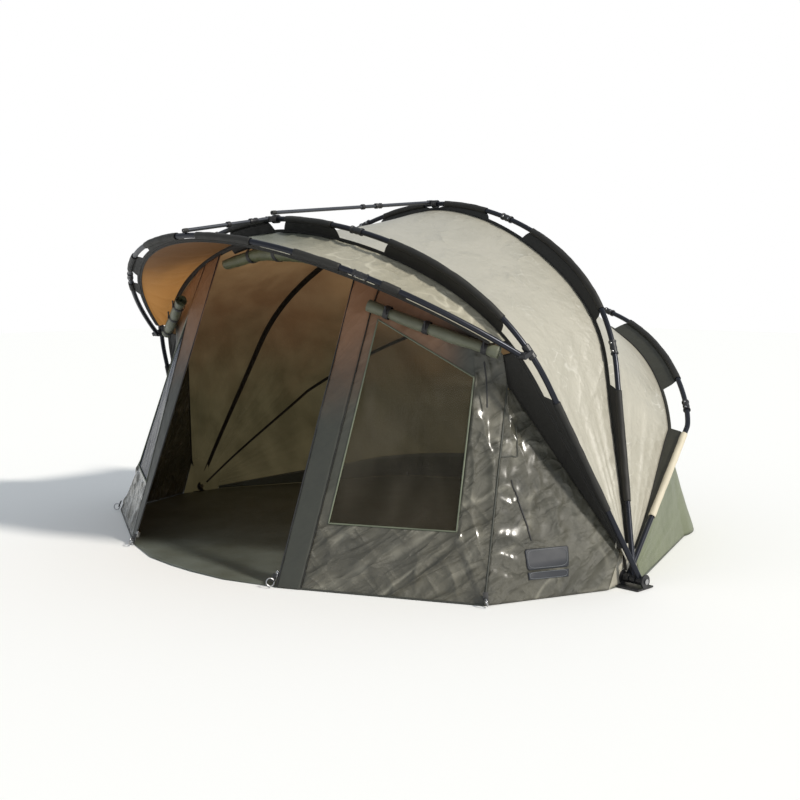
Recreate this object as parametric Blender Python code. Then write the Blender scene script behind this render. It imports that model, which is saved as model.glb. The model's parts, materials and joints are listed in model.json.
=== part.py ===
# Bivvy tent, built as an assembly: three folding ribs on common pivots, a hood rib
# clamped to the front rib, tension bars, canopy panels, front and rear walls, groundsheet.
# Metres, +Z up. X runs across the tent, -Y is the doorway, and the origin lies on the
# ground midway between the two pivots.

import math

import bmesh
import bpy
from mathutils import Matrix, Vector

# Frame
HALF_SPAN = 1.450
AXLE_HEIGHT = 0.030
EYE_PITCH = 0.030
GAP = 0.0003
OVERRUN = 0.010
MERGE = GAP / 10
SHARP = math.radians(40.0)

# Poles and their joints
POLE_RADIUS = 0.011
POLE_DIAMETER = POLE_RADIUS * 2
TUBE_SIDES = 8
KNUCKLE_RADIUS = 0.016
KNUCKLE_LENGTH = 0.060
KNUCKLE_BEVEL = 0.003
EYE_RADIUS = 0.017
EYE_WIDTH = 0.024
EYE_CLEARANCE = 0.0004

# Pivot blocks and axles
AXLE_RADIUS = 0.006
AXLE_HEAD_RADIUS = 0.011
AXLE_HEAD_LENGTH = 0.005
CHEEK_RADIUS = 0.026
CHEEK_THICKNESS = 0.006
CHEEK_PLAY = 0.006
BASE_PLATE_LENGTH = 0.100
BASE_PLATE_THICKNESS = 0.006

# Cloth
CLOTH_THICKNESS = 0.004
WEB_THICKNESS = 0.003
WEB_LAP = 0.004
PIPING_WIDTH = 0.014
SHEET_THICKNESS = 0.004
SHEET_INSET = 0.0045
CORNER_SEAM = 0.0018
SAG_SHARE = 0.030
REAR_SAG_SHARE = 0.015

# Ribs: each lies in a plane through the pivot axis, leaning at an angle from +Y.
# knee_x and knee_r end the straight leg, the pulls shape the arch above it.
REAR_RIB = {
    "name": "rear",
    "lean": math.radians(40.1),
    "hub_x": HALF_SPAN - EYE_PITCH,
    "knee_x": 1.283,
    "knee_r": 0.800,
    "knee_pull_length": 0.070,
    "crown_pull_x": 0.836,
    "crown_r": 1.600,
    "hem_depth": 0.024,
    "knee_depth": 0.090,
    "shoulder_depth": 0.084,
    "crown_depth": 0.082,
    "collar_share": 0.395,
}
MAIN_RIB = {
    "name": "main",
    "lean": math.radians(74.8),
    "hub_x": HALF_SPAN,
    "knee_x": 1.204,
    "knee_r": 0.800,
    "knee_pull_length": 0.569,
    "crown_pull_x": 0.346,
    "crown_r": 1.549,
    "hem_depth": 0.024,
    "knee_depth": 0.052,
    "shoulder_depth": 0.066,
    "crown_depth": 0.032,
    "collar_share": 0.400,
}
FRONT_RIB = {
    "name": "front",
    "lean": math.radians(112.1),
    "hub_x": HALF_SPAN + EYE_PITCH,
    "knee_x": 1.269,
    "knee_r": 0.800,
    "knee_pull_length": 0.683,
    "crown_pull_x": 0.100,
    "crown_r": 1.501,
    "hem_depth": 0.024,
    "knee_depth": 0.064,
    "shoulder_depth": 0.072,
    "crown_depth": 0.060,
    "collar_share": 0.412,
}
RIBS = (REAR_RIB, MAIN_RIB, FRONT_RIB)

# Where things sit along half a rib, as shares of its length from pivot to crown
STEPS = 40
PEAK_STEPS = 24
SLEEVE_START_SHARE = 0.125
SLEEVE_END_SHARE = 0.325
FIN_START_SHARE = 0.475
FIN_END_SHARE = 0.725
TOP_FIN_START_SHARE = 0.850
TOP_FIN_END_SHARE = 0.975
KNUCKLE_SHARE = 0.795
SHOULDER_SHARE = 0.640
PIPING_START_SHARE = 0.060
FIN_SLOPE_SHARE = 0.006
STATION_MARGIN_SHARE = 0.001

# Hood rib, clamped to the front rib's collars
PEAK_LEAN = math.radians(144.5)
PEAK_FORWARD = 0.034
PEAK_ARM_OUT = 0.008
PEAK_ARM_WIDTH = 0.010
PEAK_ARM_HEIGHT = 0.018
PEAK_PULL_LENGTH = 0.266
PEAK_PULL_ANGLE = math.radians(28.0)
PEAK_CROWN_PULL_X = 0.697
PEAK_RISE = 0.777
PEAK_DEPTH = 0.050
PEAK_CROWN_DEPTH = 0.034
PEAK_EYE_RADIUS = 0.014
PEAK_EYE_WIDTH = 0.036
PEAK_PIN_RADIUS = 0.005
PEAK_PIN_HEAD_RADIUS = 0.009
PEAK_KNUCKLE_SHARE = 0.440
PEAK_KNUCKLE_RADIUS = 0.014
PEAK_FIN_SHARES = ((0.330, 0.390), (0.490, 0.630), (0.750, 0.960))
HOOD_START_SHARE = 0.450
HOOD_PEAK_START_SHARE = 0.080

# Tension bars and their lugs
BAR_RADIUS = 0.008
BAR_EYE_RADIUS = 0.011
BAR_EYE_WIDTH = 0.018
BAR_PIN_RADIUS = 0.004
BAR_TIP_OVERHANG = 0.012
LUG_RADIUS = 0.018
LUG_LENGTH = 0.030
LUG_BORE_RADIUS = 0.0122
LUG_REACH = 0.036
LUG_CHEEK_THICKNESS = 0.005
LUG_CHEEK_HEIGHT = 0.020

# Ground line
CORNER_X = 1.230
CORNER_Y = -0.605
DOOR_X = 0.500
DOOR_Y = -0.980
SILL_Y = -1.080
SILL_SIDE_Y = -1.060
REAR_START_X = 1.400
REAR_CORNER_X = 1.090
REAR_CORNER_Y = 0.920
REAR_MIDDLE_Y = 1.450
WALL_START = 0.115

# Front wall
DOOR_TOP_X = 0.470
STRIP_WIDTH = 0.100
STRIP_TOP_WIDTH = 0.140
PANEL_TOP_X = 1.067
PANEL_TOP_R = 0.790
SHOULDER_CORNER_X = 1.085
SHOULDER_CORNER_R = 0.925
WALL_INSET = 0.014
WALL_STAND = 0.0014
WALL_OFFSET = WEB_THICKNESS / 2 + GAP + WALL_STAND
WINDOW_RIGHT_X = 1.075
WINDOW_TOP_RIGHT_X = 1.000
WINDOW_LEFT_SHARE = 0.080
WINDOW_BOTTOM_Z = 0.245
WINDOW_TOP_Z = 1.030
WINDOW_TOP_RIGHT_Z = 0.800
WINDOW_LEFT_FOOT_SHARE = 0.060
WINDOW_RIGHT_FOOT_SHARE = 0.800
PANE_THICKNESS = 0.002
FLAP_RADIUS = 0.027
FLAP_START_SHARE = 0.120
FLAP_END_SHARE = 0.950
FLAP_STAND = 0.0248
DOOR_ROLL_RADIUS = 0.036
DOOR_ROLL_HALF = 0.400
DOOR_ROLL_DROP = 0.022
DOOR_HEADER_SHARE = 0.830
SLIDER_LENGTH = 0.032
SLIDER_WIDTH = 0.012
SLIDER_THICKNESS = 0.008
SLIDER_BEVEL = 0.002
SLIDER_START = 0.050

COLOURS = {
    "pole": ((0.030, 0.032, 0.040), 0.35, 0.8),
    "knuckle": ((0.040, 0.040, 0.045), 0.45, 0.0),
    "steel": ((0.450, 0.450, 0.460), 0.30, 1.0),
    "web": ((0.020, 0.018, 0.015), 0.80, 0.0),
    "canopy": ((0.460, 0.440, 0.360), 0.60, 0.0),
    "wall": ((0.150, 0.160, 0.110), 0.60, 0.0),
    "pane": ((0.200, 0.190, 0.140), 0.30, 0.0),
    "groundsheet": ((0.030, 0.032, 0.030), 0.70, 0.0),
}


def clear_scene():
    for thing in list(bpy.data.objects):
        bpy.data.objects.remove(thing, do_unlink=True)


def material(name):
    found = bpy.data.materials.get(name)
    if found:
        return found
    colour, roughness, metallic = COLOURS[name]
    made = bpy.data.materials.new(name)
    made.use_nodes = True
    shader = made.node_tree.nodes["Principled BSDF"]
    shader.inputs["Base Color"].default_value = (*colour, 1.0)
    shader.inputs["Roughness"].default_value = roughness
    shader.inputs["Metallic"].default_value = metallic
    return made


def add_object(name, mesh, finish):
    thing = bpy.data.objects.new(name, mesh)
    bpy.context.collection.objects.link(thing)
    mesh.materials.clear()
    mesh.materials.append(material(finish))
    return thing


def side_name(name, side):
    return f"{name}_{'right' if side > 0 else 'left'}"


def mirrored(point, side):
    return Vector((point.x * side, point.y, point.z))


# Rib geometry
def bezier(points, share):
    rest = 1.0 - share
    weights = (rest**3, 3 * rest**2 * share, 3 * rest * share**2, share**3)
    total = Vector((0.0, 0.0))
    for point, weight in zip(points, weights):
        total += point * weight
    return total


def measured(points):
    lengths = [0.0]
    for before, after in zip(points, points[1:]):
        lengths.append(lengths[-1] + (after - before).length)
    return points, lengths


def rib_outline(rib):
    foot = Vector((rib["hub_x"], 0.0))
    knee = Vector((rib["knee_x"], rib["knee_r"]))
    leg = (knee - foot).normalized()
    crown = Vector((0.0, rib["crown_r"]))
    shoulder = Vector((rib["crown_pull_x"], rib["crown_r"]))
    arch = [knee, knee + leg * rib["knee_pull_length"], shoulder, crown]
    fine = 10 * STEPS
    return measured([foot] + [bezier(arch, i / fine) for i in range(fine + 1)])


def peak_outline():
    start = Vector((clamp_place().x - peak_offset(), 0.0))
    pull = Vector((-math.sin(PEAK_PULL_ANGLE), math.cos(PEAK_PULL_ANGLE))) * PEAK_PULL_LENGTH
    shoulder = Vector((PEAK_CROWN_PULL_X, PEAK_RISE))
    arch = [start, start + pull, shoulder, Vector((0.0, PEAK_RISE))]
    fine = 10 * STEPS
    return measured([bezier(arch, i / fine) for i in range(fine + 1)])


def along(outline, share):
    points, lengths = outline
    wanted = share * lengths[-1]
    for i in range(1, len(points)):
        if lengths[i] >= wanted or i == len(points) - 1:
            part = (wanted - lengths[i - 1]) / (lengths[i] - lengths[i - 1])
            point = points[i - 1].lerp(points[i], part)
            tangent = (points[i] - points[i - 1]).normalized()
            return point, tangent
    return points[-1], Vector((-1.0, 0.0))


def inward(tangent):
    return Vector((-tangent.y, tangent.x))


def peak_offset():
    # How far inside the clamp's centre the hood rib's eye is centred.
    return PEAK_EYE_WIDTH / 2 + EYE_CLEARANCE - PEAK_ARM_OUT


def clamp_place():
    point, _ = along(rib_outline(FRONT_RIB), FRONT_RIB["collar_share"])
    return point


class Plane:
    def __init__(self, lean, y=0.0, z=AXLE_HEIGHT):
        self.across = Vector((0.0, math.cos(lean), math.sin(lean)))
        self.normal = Vector((0.0, -math.sin(lean), math.cos(lean)))
        self.origin = Vector((0.0, y, z))

    def place(self, point, side=1, offset=0.0):
        flat = Vector((point.x * side, 0.0, 0.0))
        return self.origin + flat + self.across * point.y + self.normal * offset

    def direction(self, flat, side=1):
        return Vector((flat.x * side, 0.0, 0.0)) + self.across * flat.y


def rib_plane(rib):
    return Plane(rib["lean"])


def peak_plane():
    place = rib_plane(FRONT_RIB).place(clamp_place(), 1, PEAK_FORWARD)
    return Plane(PEAK_LEAN, place.y, place.z)


def eased(share):
    return share * share * (3.0 - 2.0 * share)


def between(low, high, share, low_value, high_value):
    part = min(max((share - low) / (high - low), 0.0), 1.0)
    return low_value + (high_value - low_value) * eased(part)


def seam_depth(rib, share):
    if share <= rib["collar_share"]:
        return between(PIPING_START_SHARE, rib["collar_share"], share, rib["hem_depth"], rib["knee_depth"])
    if share <= SHOULDER_SHARE:
        return between(rib["collar_share"], SHOULDER_SHARE, share, rib["knee_depth"], rib["shoulder_depth"])
    return between(SHOULDER_SHARE, 1.0, share, rib["shoulder_depth"], rib["crown_depth"])


def peak_depth(share):
    return between(FIN_START_SHARE, 1.0, share, PEAK_DEPTH, PEAK_CROWN_DEPTH)


def in_from(outline, share, depth):
    point, tangent = along(outline, share)
    return point + inward(tangent) * depth


# Solids
def finish_mesh(build, name):
    bmesh.ops.recalc_face_normals(build, faces=build.faces)
    if build.calc_volume(signed=True) < 0.0:
        bmesh.ops.reverse_faces(build, faces=build.faces)
    mesh = bpy.data.meshes.new(name)
    build.to_mesh(mesh)
    build.free()
    return mesh


def tube(name, points, radius, finish):
    curve = bpy.data.curves.new(name, "CURVE")
    curve.dimensions = "3D"
    curve.bevel_depth = radius
    curve.bevel_resolution = TUBE_SIDES // 2 - 2
    curve.use_fill_caps = True
    spline = curve.splines.new("POLY")
    spline.points.add(len(points) - 1)
    for knot, point in zip(spline.points, points):
        knot.co = (*point, 1.0)
    holder = bpy.data.objects.new(name + "_path", curve)
    bpy.context.collection.objects.link(holder)
    mesh = bpy.data.meshes.new_from_object(holder)
    bpy.data.objects.remove(holder, do_unlink=True)
    build = bmesh.new()
    build.from_mesh(mesh)
    bmesh.ops.remove_doubles(build, verts=build.verts, dist=MERGE)
    thing = add_object(name, finish_mesh(build, name), finish)
    thing.data.shade_smooth()
    thing.data.set_sharp_from_angle(angle=SHARP)
    return thing


def rod(name, start, end, radius, finish, sides=12, bevel=0.0):
    build = bmesh.new()
    length = (end - start).length
    bmesh.ops.create_cone(
        build, cap_ends=True, segments=sides, radius1=radius, radius2=radius, depth=length
    )
    if bevel:
        rims = [edge for edge in build.edges if abs(edge.verts[0].co.z - edge.verts[1].co.z) < GAP]
        bmesh.ops.bevel(build, geom=rims, offset=bevel, segments=1, affect="EDGES")
    turn = Vector((0.0, 0.0, 1.0)).rotation_difference(end - start).to_matrix().to_4x4()
    move = Matrix.Translation((start + end) / 2)
    bmesh.ops.transform(build, matrix=move @ turn, verts=build.verts)
    thing = add_object(name, finish_mesh(build, name), finish)
    thing.data.shade_smooth()
    thing.data.set_sharp_from_angle(angle=SHARP)
    return thing


def block(name, low, high, finish):
    build = bmesh.new()
    bmesh.ops.create_cube(build, size=1.0)
    size = high - low
    bmesh.ops.scale(build, vec=size, verts=build.verts)
    bmesh.ops.translate(build, vec=(low + high) / 2, verts=build.verts)
    return add_object(name, finish_mesh(build, name), finish)


def combine(base, others, operation):
    for other in others:
        other.hide_render = True
        other.display_type = "WIRE"
        step = base.modifiers.new(f"{operation} {other.name}", "BOOLEAN")
        step.operation = operation
        step.object = other
        step.solver = "EXACT"


def sheet(name, middles, halves, finish, open_cells=()):
    rows = len(middles)
    columns = len(middles[0])
    build = bmesh.new()
    faces = {}
    for sign in (1, -1):
        faces[sign] = [
            [build.verts.new(middles[i][j] + halves[i][j] * sign) for j in range(columns)]
            for i in range(rows)
        ]
    cells = {
        (i, j) for i in range(rows - 1) for j in range(columns - 1) if (i, j) not in open_cells
    }
    for i, j in cells:
        corners = [(i, j), (i + 1, j), (i + 1, j + 1), (i, j + 1)]
        build.faces.new([faces[1][a][b] for a, b in corners])
        build.faces.new([faces[-1][a][b] for a, b in reversed(corners)])
        beyond = [(i, j - 1), (i + 1, j), (i, j + 1), (i - 1, j)]
        for k in range(4):
            if beyond[k] in cells:
                continue
            (a, b), (c, d) = corners[k], corners[(k + 1) % 4]
            build.faces.new([faces[-1][a][b], faces[-1][c][d], faces[1][c][d], faces[1][a][b]])
    loose = [vert for vert in build.verts if not vert.link_faces]
    bmesh.ops.delete(build, geom=loose, context="VERTS")
    thing = add_object(name, finish_mesh(build, name), finish)
    thing.data.shade_smooth()
    thing.data.set_sharp_from_angle(angle=SHARP)
    return thing


# Ribs
def grid_shares(start, end, margin=STATION_MARGIN_SHARE, steps=STEPS):
    first = math.ceil(start * steps)
    last = math.floor(end * steps)
    inside = [i / steps for i in range(first, last + 1)]
    return [start] + [s for s in inside if start + margin < s < end - margin] + [end]


def knuckle_ends(outline, share):
    half_length = KNUCKLE_LENGTH / 2 / outline[1][-1]
    low = along(outline, share - half_length)[0]
    high = along(outline, share + half_length)[0]
    return low, high, (high - low).normalized()


def pole_points(outline, start, end, steps):
    # start and end each hold a share and whether the pole is seated on a knuckle there.
    # Beside a knuckle the pole first runs in line with it, so its cap lies flat on the block.
    margin = POLE_DIAMETER / outline[1][-1]
    half_length = KNUCKLE_LENGTH / 2 / outline[1][-1]
    low_share, low_seat = start
    high_share, high_seat = end
    low = low_share + (half_length if low_seat else 0.0)
    high = high_share - (half_length if high_seat else 0.0)
    points = [along(outline, share)[0] for share in grid_shares(low, high, margin, steps)]
    if low_seat:
        _, seat, direction = knuckle_ends(outline, low_share)
        points[0:1] = [seat + direction * GAP, seat + direction * (GAP + POLE_RADIUS)]
    if high_seat:
        seat, _, direction = knuckle_ends(outline, high_share)
        points[-1:] = [seat - direction * (GAP + POLE_RADIUS), seat - direction * GAP]
    return points


def make_poles(name, outline, plane, knuckles, first_share, steps=STEPS):
    ends = [(first_share, False)] + [(share, True) for share in knuckles]
    labels = ["leg", "arc"][2 - len(knuckles):]
    made = []
    for side in (1, -1):
        for label, start, end in zip(labels, ends, ends[1:]):
            points = [plane.place(p, side) for p in pole_points(outline, start, end, steps)]
            made.append(tube(side_name(f"{name}_{label}", side), points, POLE_RADIUS, "pole"))
    right = [plane.place(p, 1) for p in pole_points(outline, ends[-1], (1.0, False), steps)]
    left = [mirrored(p, -1) for p in reversed(right[:-1])]
    tube(f"{name}_crown", right + left, POLE_RADIUS, "pole")
    return made


def knuckle(name, outline, plane, share, side, radius):
    low, high, _ = knuckle_ends(outline, share)
    start = plane.place(low, side)
    end = plane.place(high, side)
    return rod(name, start, end, radius, "knuckle", bevel=KNUCKLE_BEVEL)


def web_edges(rib, share, full):
    depth = seam_depth(rib, share)
    outer = POLE_RADIUS + GAP if full else depth - PIPING_WIDTH
    return max(outer, POLE_RADIUS + GAP), depth + WEB_LAP


def rib_stations():
    # Each station is a share and whether the fin reaches the pole there.
    spans = (
        (PIPING_START_SHARE, SLEEVE_START_SHARE, False),
        (SLEEVE_START_SHARE, SLEEVE_END_SHARE, True),
        (SLEEVE_END_SHARE, FIN_START_SHARE, False),
        (FIN_START_SHARE, FIN_END_SHARE, True),
        (FIN_END_SHARE, TOP_FIN_START_SHARE, False),
        (TOP_FIN_START_SHARE, TOP_FIN_END_SHARE, True),
        (TOP_FIN_END_SHARE, 1.0, False),
    )
    stations = []
    for start, end, full in spans:
        low = start if full or start == PIPING_START_SHARE else start + FIN_SLOPE_SHARE
        high = end if full or end == 1.0 else end - FIN_SLOPE_SHARE
        stations += [(share, full) for share in grid_shares(low, high)]
    return stations


def web_sheet(name, plane, inner, outer):
    # inner and outer are the right half's edges, from the pivot to the crown.
    half = plane.normal * (WEB_THICKNESS / 2)
    middles = []
    for side, points in ((1, list(zip(inner, outer))), (-1, list(zip(inner, outer))[-2::-1])):
        middles += [[plane.place(low, side), plane.place(high, side)] for low, high in points]
    halves = [[half, half] for _ in middles]
    return sheet(name, middles, halves, "web")


def make_web(rib, outline):
    inner = []
    outer = []
    for share, full in rib_stations():
        low, high = web_edges(rib, share, full)
        outer.append(in_from(outline, share, low))
        if rib is FRONT_RIB:
            inner.append(gusset_point(in_from(outline, share, high + header_lap(share))))
        else:
            inner.append(in_from(outline, share, high))
    web_sheet(f"{rib['name']}_web", rib_plane(rib), inner, outer)


def make_leg_eye(leg, rib, side):
    centre = Vector((rib["hub_x"] * side, 0.0, AXLE_HEIGHT))
    reach = Vector((EYE_WIDTH / 2, 0.0, 0.0))
    eye = rod(leg.name + "_eye", centre - reach, centre + reach, EYE_RADIUS, "pole", sides=16)
    past = reach + Vector((OVERRUN, 0.0, 0.0))
    bore_radius = AXLE_RADIUS + EYE_CLEARANCE
    bore = rod(leg.name + "_bore", centre - past, centre + past, bore_radius, "pole")
    combine(leg, [eye], "UNION")
    combine(leg, [bore], "DIFFERENCE")


def make_rib(rib):
    outline = rib_outline(rib)
    plane = rib_plane(rib)
    name = rib["name"]
    # The leg stops short of the axle bore, inside its eye.
    leg_start = (EYE_RADIUS - POLE_RADIUS / 2) / outline[1][-1]
    knuckles = (rib["collar_share"], KNUCKLE_SHARE)
    poles = make_poles(name, outline, plane, knuckles, leg_start)
    for leg, side in ((poles[0], 1), (poles[2], -1)):
        make_leg_eye(leg, rib, side)
    for side in (1, -1):
        knuckle(side_name(f"{name}_knuckle", side), outline, plane, KNUCKLE_SHARE, side, KNUCKLE_RADIUS)
        if rib is not FRONT_RIB:
            knuckle(
                side_name(f"{name}_collar", side), outline, plane, rib["collar_share"], side, KNUCKLE_RADIUS
            )
    make_web(rib, outline)


# Canopy panels
def rib_edge(rib, outline, share, side, toward):
    # Half thickness lies in the rib's plane, so the edge sits flat beside the web.
    plane = rib_plane(rib)
    point, tangent = along(outline, share)
    inner = inward(tangent)
    offset = toward * (WEB_THICKNESS / 2 + GAP)
    middle = plane.place(point + inner * seam_depth(rib, share), side, offset)
    return middle, plane.direction(inner, side) * (-CLOTH_THICKNESS / 2)


def spread(first, last, columns, sag_share):
    middles = []
    halves = []
    width = (last[0] - first[0]).length
    inner = -(first[1] + last[1]).normalized()
    for j in range(columns + 1):
        part = j / columns
        sag = 4.0 * part * (1.0 - part) * sag_share * width
        middles.append(first[0].lerp(last[0], part) + inner * sag)
        half = first[1].lerp(last[1], part)
        halves.append(half.normalized() * (CLOTH_THICKNESS / 2))
    halves[0] = first[1]
    halves[-1] = last[1]
    return middles, halves


def both_sides(right_rows):
    # Rows run from the right pivot to the crown, then down the left side.
    rows = list(right_rows)
    for middles, halves in reversed(right_rows[:-1]):
        rows.append(([mirrored(p, -1) for p in middles], [mirrored(h, -1) for h in halves]))
    return [row[0] for row in rows], [row[1] for row in rows]


def panel_shares():
    return [PIPING_START_SHARE] + [2 * i / STEPS for i in range(2, STEPS // 2 + 1)]


def canopy(name, back_rib, front_rib, columns):
    back = rib_outline(back_rib)
    front = rib_outline(front_rib)
    rows = []
    for share in panel_shares():
        first = rib_edge(back_rib, back, share, 1, 1)
        last = rib_edge(front_rib, front, share, 1, -1)
        rows.append(spread(first, last, columns, SAG_SHARE))
    middles, halves = both_sides(rows)
    return sheet(name, middles, halves, "canopy")


def make_hood(columns=4):
    front = rib_outline(FRONT_RIB)
    peak = peak_outline()
    plane = peak_plane()
    rows = []
    count = STEPS // 2
    for i in range(count + 1):
        part = i / count
        share = HOOD_START_SHARE + (1.0 - HOOD_START_SHARE) * part
        first = rib_edge(FRONT_RIB, front, share, 1, 1)
        peak_share = HOOD_PEAK_START_SHARE + (1.0 - HOOD_PEAK_START_SHARE) * part
        point, tangent = along(peak, peak_share)
        inner = inward(tangent)
        middle = plane.place(point + inner * peak_depth(peak_share), 1, -WEB_THICKNESS / 2 - GAP)
        last = (middle, plane.direction(inner) * (-CLOTH_THICKNESS / 2))
        rows.append(spread(first, last, columns, SAG_SHARE))
    middles, halves = both_sides(rows)
    return sheet("hood", middles, halves, "canopy")


def rear_ground(share):
    # From the pivot straight to the rear corner, then round to the middle of the rear.
    knee = REAR_RIB["collar_share"]
    start = Vector((REAR_START_X, WALL_START, 0.0))
    corner = Vector((REAR_CORNER_X, REAR_CORNER_Y, 0.0))
    if share <= knee:
        part = (share - PIPING_START_SHARE) / (knee - PIPING_START_SHARE)
        run = corner - start
        return start.lerp(corner, part), Vector((run.y, -run.x, 0.0)).normalized()
    turn = (share - knee) / (1.0 - knee) * math.pi / 2
    rise = REAR_MIDDLE_Y - REAR_CORNER_Y
    point = Vector((REAR_CORNER_X * math.cos(turn), REAR_CORNER_Y + rise * math.sin(turn), 0.0))
    out = Vector((rise * math.cos(turn), REAR_CORNER_X * math.sin(turn), 0.0))
    return point, out.normalized()


def make_rear_wall(columns=4):
    outline = rib_outline(REAR_RIB)
    rows = []
    for share in panel_shares():
        first = rib_edge(REAR_RIB, outline, share, 1, -1)
        ground, out = rear_ground(share)
        last = (ground, out * (CLOTH_THICKNESS / 2))
        rows.append(spread(first, last, columns, REAR_SAG_SHARE))
    middles, halves = both_sides(rows)
    return sheet("rear_wall", middles, halves, "wall")


# Front wall
def wall_plane():
    foot = Vector((DOOR_X, DOOR_Y, 0.0))
    corner = Vector((CORNER_X, CORNER_Y, 0.0))
    top = rib_plane(FRONT_RIB).place(Vector((DOOR_TOP_X, door_top_r())))
    return foot, (corner - foot).cross(top - foot).normalized()


def door_top_r():
    outline = rib_outline(FRONT_RIB)
    return share_at_x(outline, DOOR_TOP_X)[1].y


def share_at_x(outline, x):
    # The wall's top edge: inside the seam by the wall's inset, at this distance out.
    low, high = FRONT_RIB["collar_share"], 1.0
    for _ in range(STEPS):
        middle = (low + high) / 2
        point = in_from(outline, middle, seam_depth(FRONT_RIB, middle) + WEB_LAP + WALL_INSET)
        if point.x > x:
            low = middle
        else:
            high = middle
    return low, point


def on_wall(x, z):
    foot, normal = wall_plane()
    y = foot.y - (normal.x * (x - foot.x) + normal.z * z) / normal.y
    return Vector((x, y, z))


def header_lap(share):
    # The front wall and, over the doorway, the rolled door are sewn to a header below the seam.
    lap = WALL_INSET + WEB_LAP
    return lap + (DOOR_ROLL_DROP if share > DOOR_HEADER_SHARE else 0.0)


def gusset_point(seam):
    # The black gusset fills from the seam to the front wall's edge below the shoulder corner.
    foot = Vector((FRONT_RIB["hub_x"], 0.0))
    corner = Vector((PANEL_TOP_X, PANEL_TOP_R))
    shoulder = Vector((SHOULDER_CORNER_X, SHOULDER_CORNER_R))
    if seam.y < corner.y:
        edge = corner.x + (foot.x - corner.x) * (corner.y - seam.y) / corner.y
    elif seam.y < shoulder.y:
        edge = corner.x + (shoulder.x - corner.x) * (seam.y - corner.y) / (shoulder.y - corner.y)
    else:
        return seam
    return Vector((min(edge - WEB_LAP, seam.x), seam.y))


def gusset_edge(r, side, toward):
    plane = rib_plane(FRONT_RIB)
    x = PANEL_TOP_X + (FRONT_RIB["hub_x"] - PANEL_TOP_X) * (PANEL_TOP_R - r) / PANEL_TOP_R
    return plane.place(Vector((x, r)), side, toward * WALL_OFFSET)


def flat_half(corners):
    normal = (corners[1] - corners[0]).cross(corners[2] - corners[0]).normalized()
    if normal.y > 0:
        normal = -normal
    return normal * (CLOTH_THICKNESS / 2)


def wall_half():
    return flat_half([door_edge(0.0), strip_edge(0.0), door_edge(1.0)])


def floor_half(half):
    flat = Vector((half.x, half.y, 0.0))
    return flat.normalized() * half.length


def make_side_panel(side, rows=6, columns=5):
    corner = Vector((CORNER_X, CORNER_Y, 0.0))
    hub = Vector((HALF_SPAN, 0.0, 0.0))
    start = hub + (corner - hub).normalized() * WALL_START
    end = corner + (start - corner).normalized() * CORNER_SEAM
    top_start = gusset_edge(WALL_START, 1, 1)
    top_corner = gusset_edge(PANEL_TOP_R, 1, 1)
    top_end = top_corner + (top_start - top_corner).normalized() * CORNER_SEAM
    half = flat_half([start, end, top_end])
    middles = []
    halves = []
    for i in range(rows + 1):
        ground = start.lerp(end, i / rows)
        top = top_start.lerp(top_end, i / rows)
        middles.append([mirrored(ground.lerp(top, j / columns), side) for j in range(columns + 1)])
        column = [floor_half(half)] + [half] * columns
        halves.append([mirrored(h, side) for h in column])
    sheet(side_name("side_panel", side), middles, halves, "wall")


def door_edge(share):
    foot = Vector((DOOR_X, DOOR_Y, 0.0))
    top = on_wall(DOOR_TOP_X, wall_top_z(DOOR_TOP_X))
    return foot.lerp(top, share)


def strip_edge(share):
    # The door strip lies along the ground line at its foot, and turns and widens towards the rib.
    foot = Vector((DOOR_X, DOOR_Y, 0.0))
    along_ground = (Vector((CORNER_X, CORNER_Y, 0.0)) - foot).normalized()
    direction = along_ground.lerp(Vector((1.0, 0.0, 0.0)), share).normalized()
    width = STRIP_WIDTH + (STRIP_TOP_WIDTH - STRIP_WIDTH) * share
    return door_edge(share) + direction * width


def wall_top(x):
    _, point = share_at_x(rib_outline(FRONT_RIB), x)
    offset = WALL_OFFSET
    return rib_plane(FRONT_RIB).place(point, 1, offset)


def wall_top_z(x):
    return wall_top(x).z


def subdivided(corner_rows, parts):
    # Fills a small grid of corner points with evenly spaced rows and columns.
    rows = []
    for i in range(len(corner_rows) - 1):
        for k in range(parts):
            below, above = corner_rows[i], corner_rows[i + 1]
            rows.append([a.lerp(b, k / parts) for a, b in zip(below, above)])
    rows.append(corner_rows[-1])
    filled = []
    for row in rows:
        line = []
        for a, b in zip(row, row[1:]):
            line += [a.lerp(b, k / parts) for k in range(parts)]
        filled.append(line + [row[-1]])
    return filled


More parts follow.
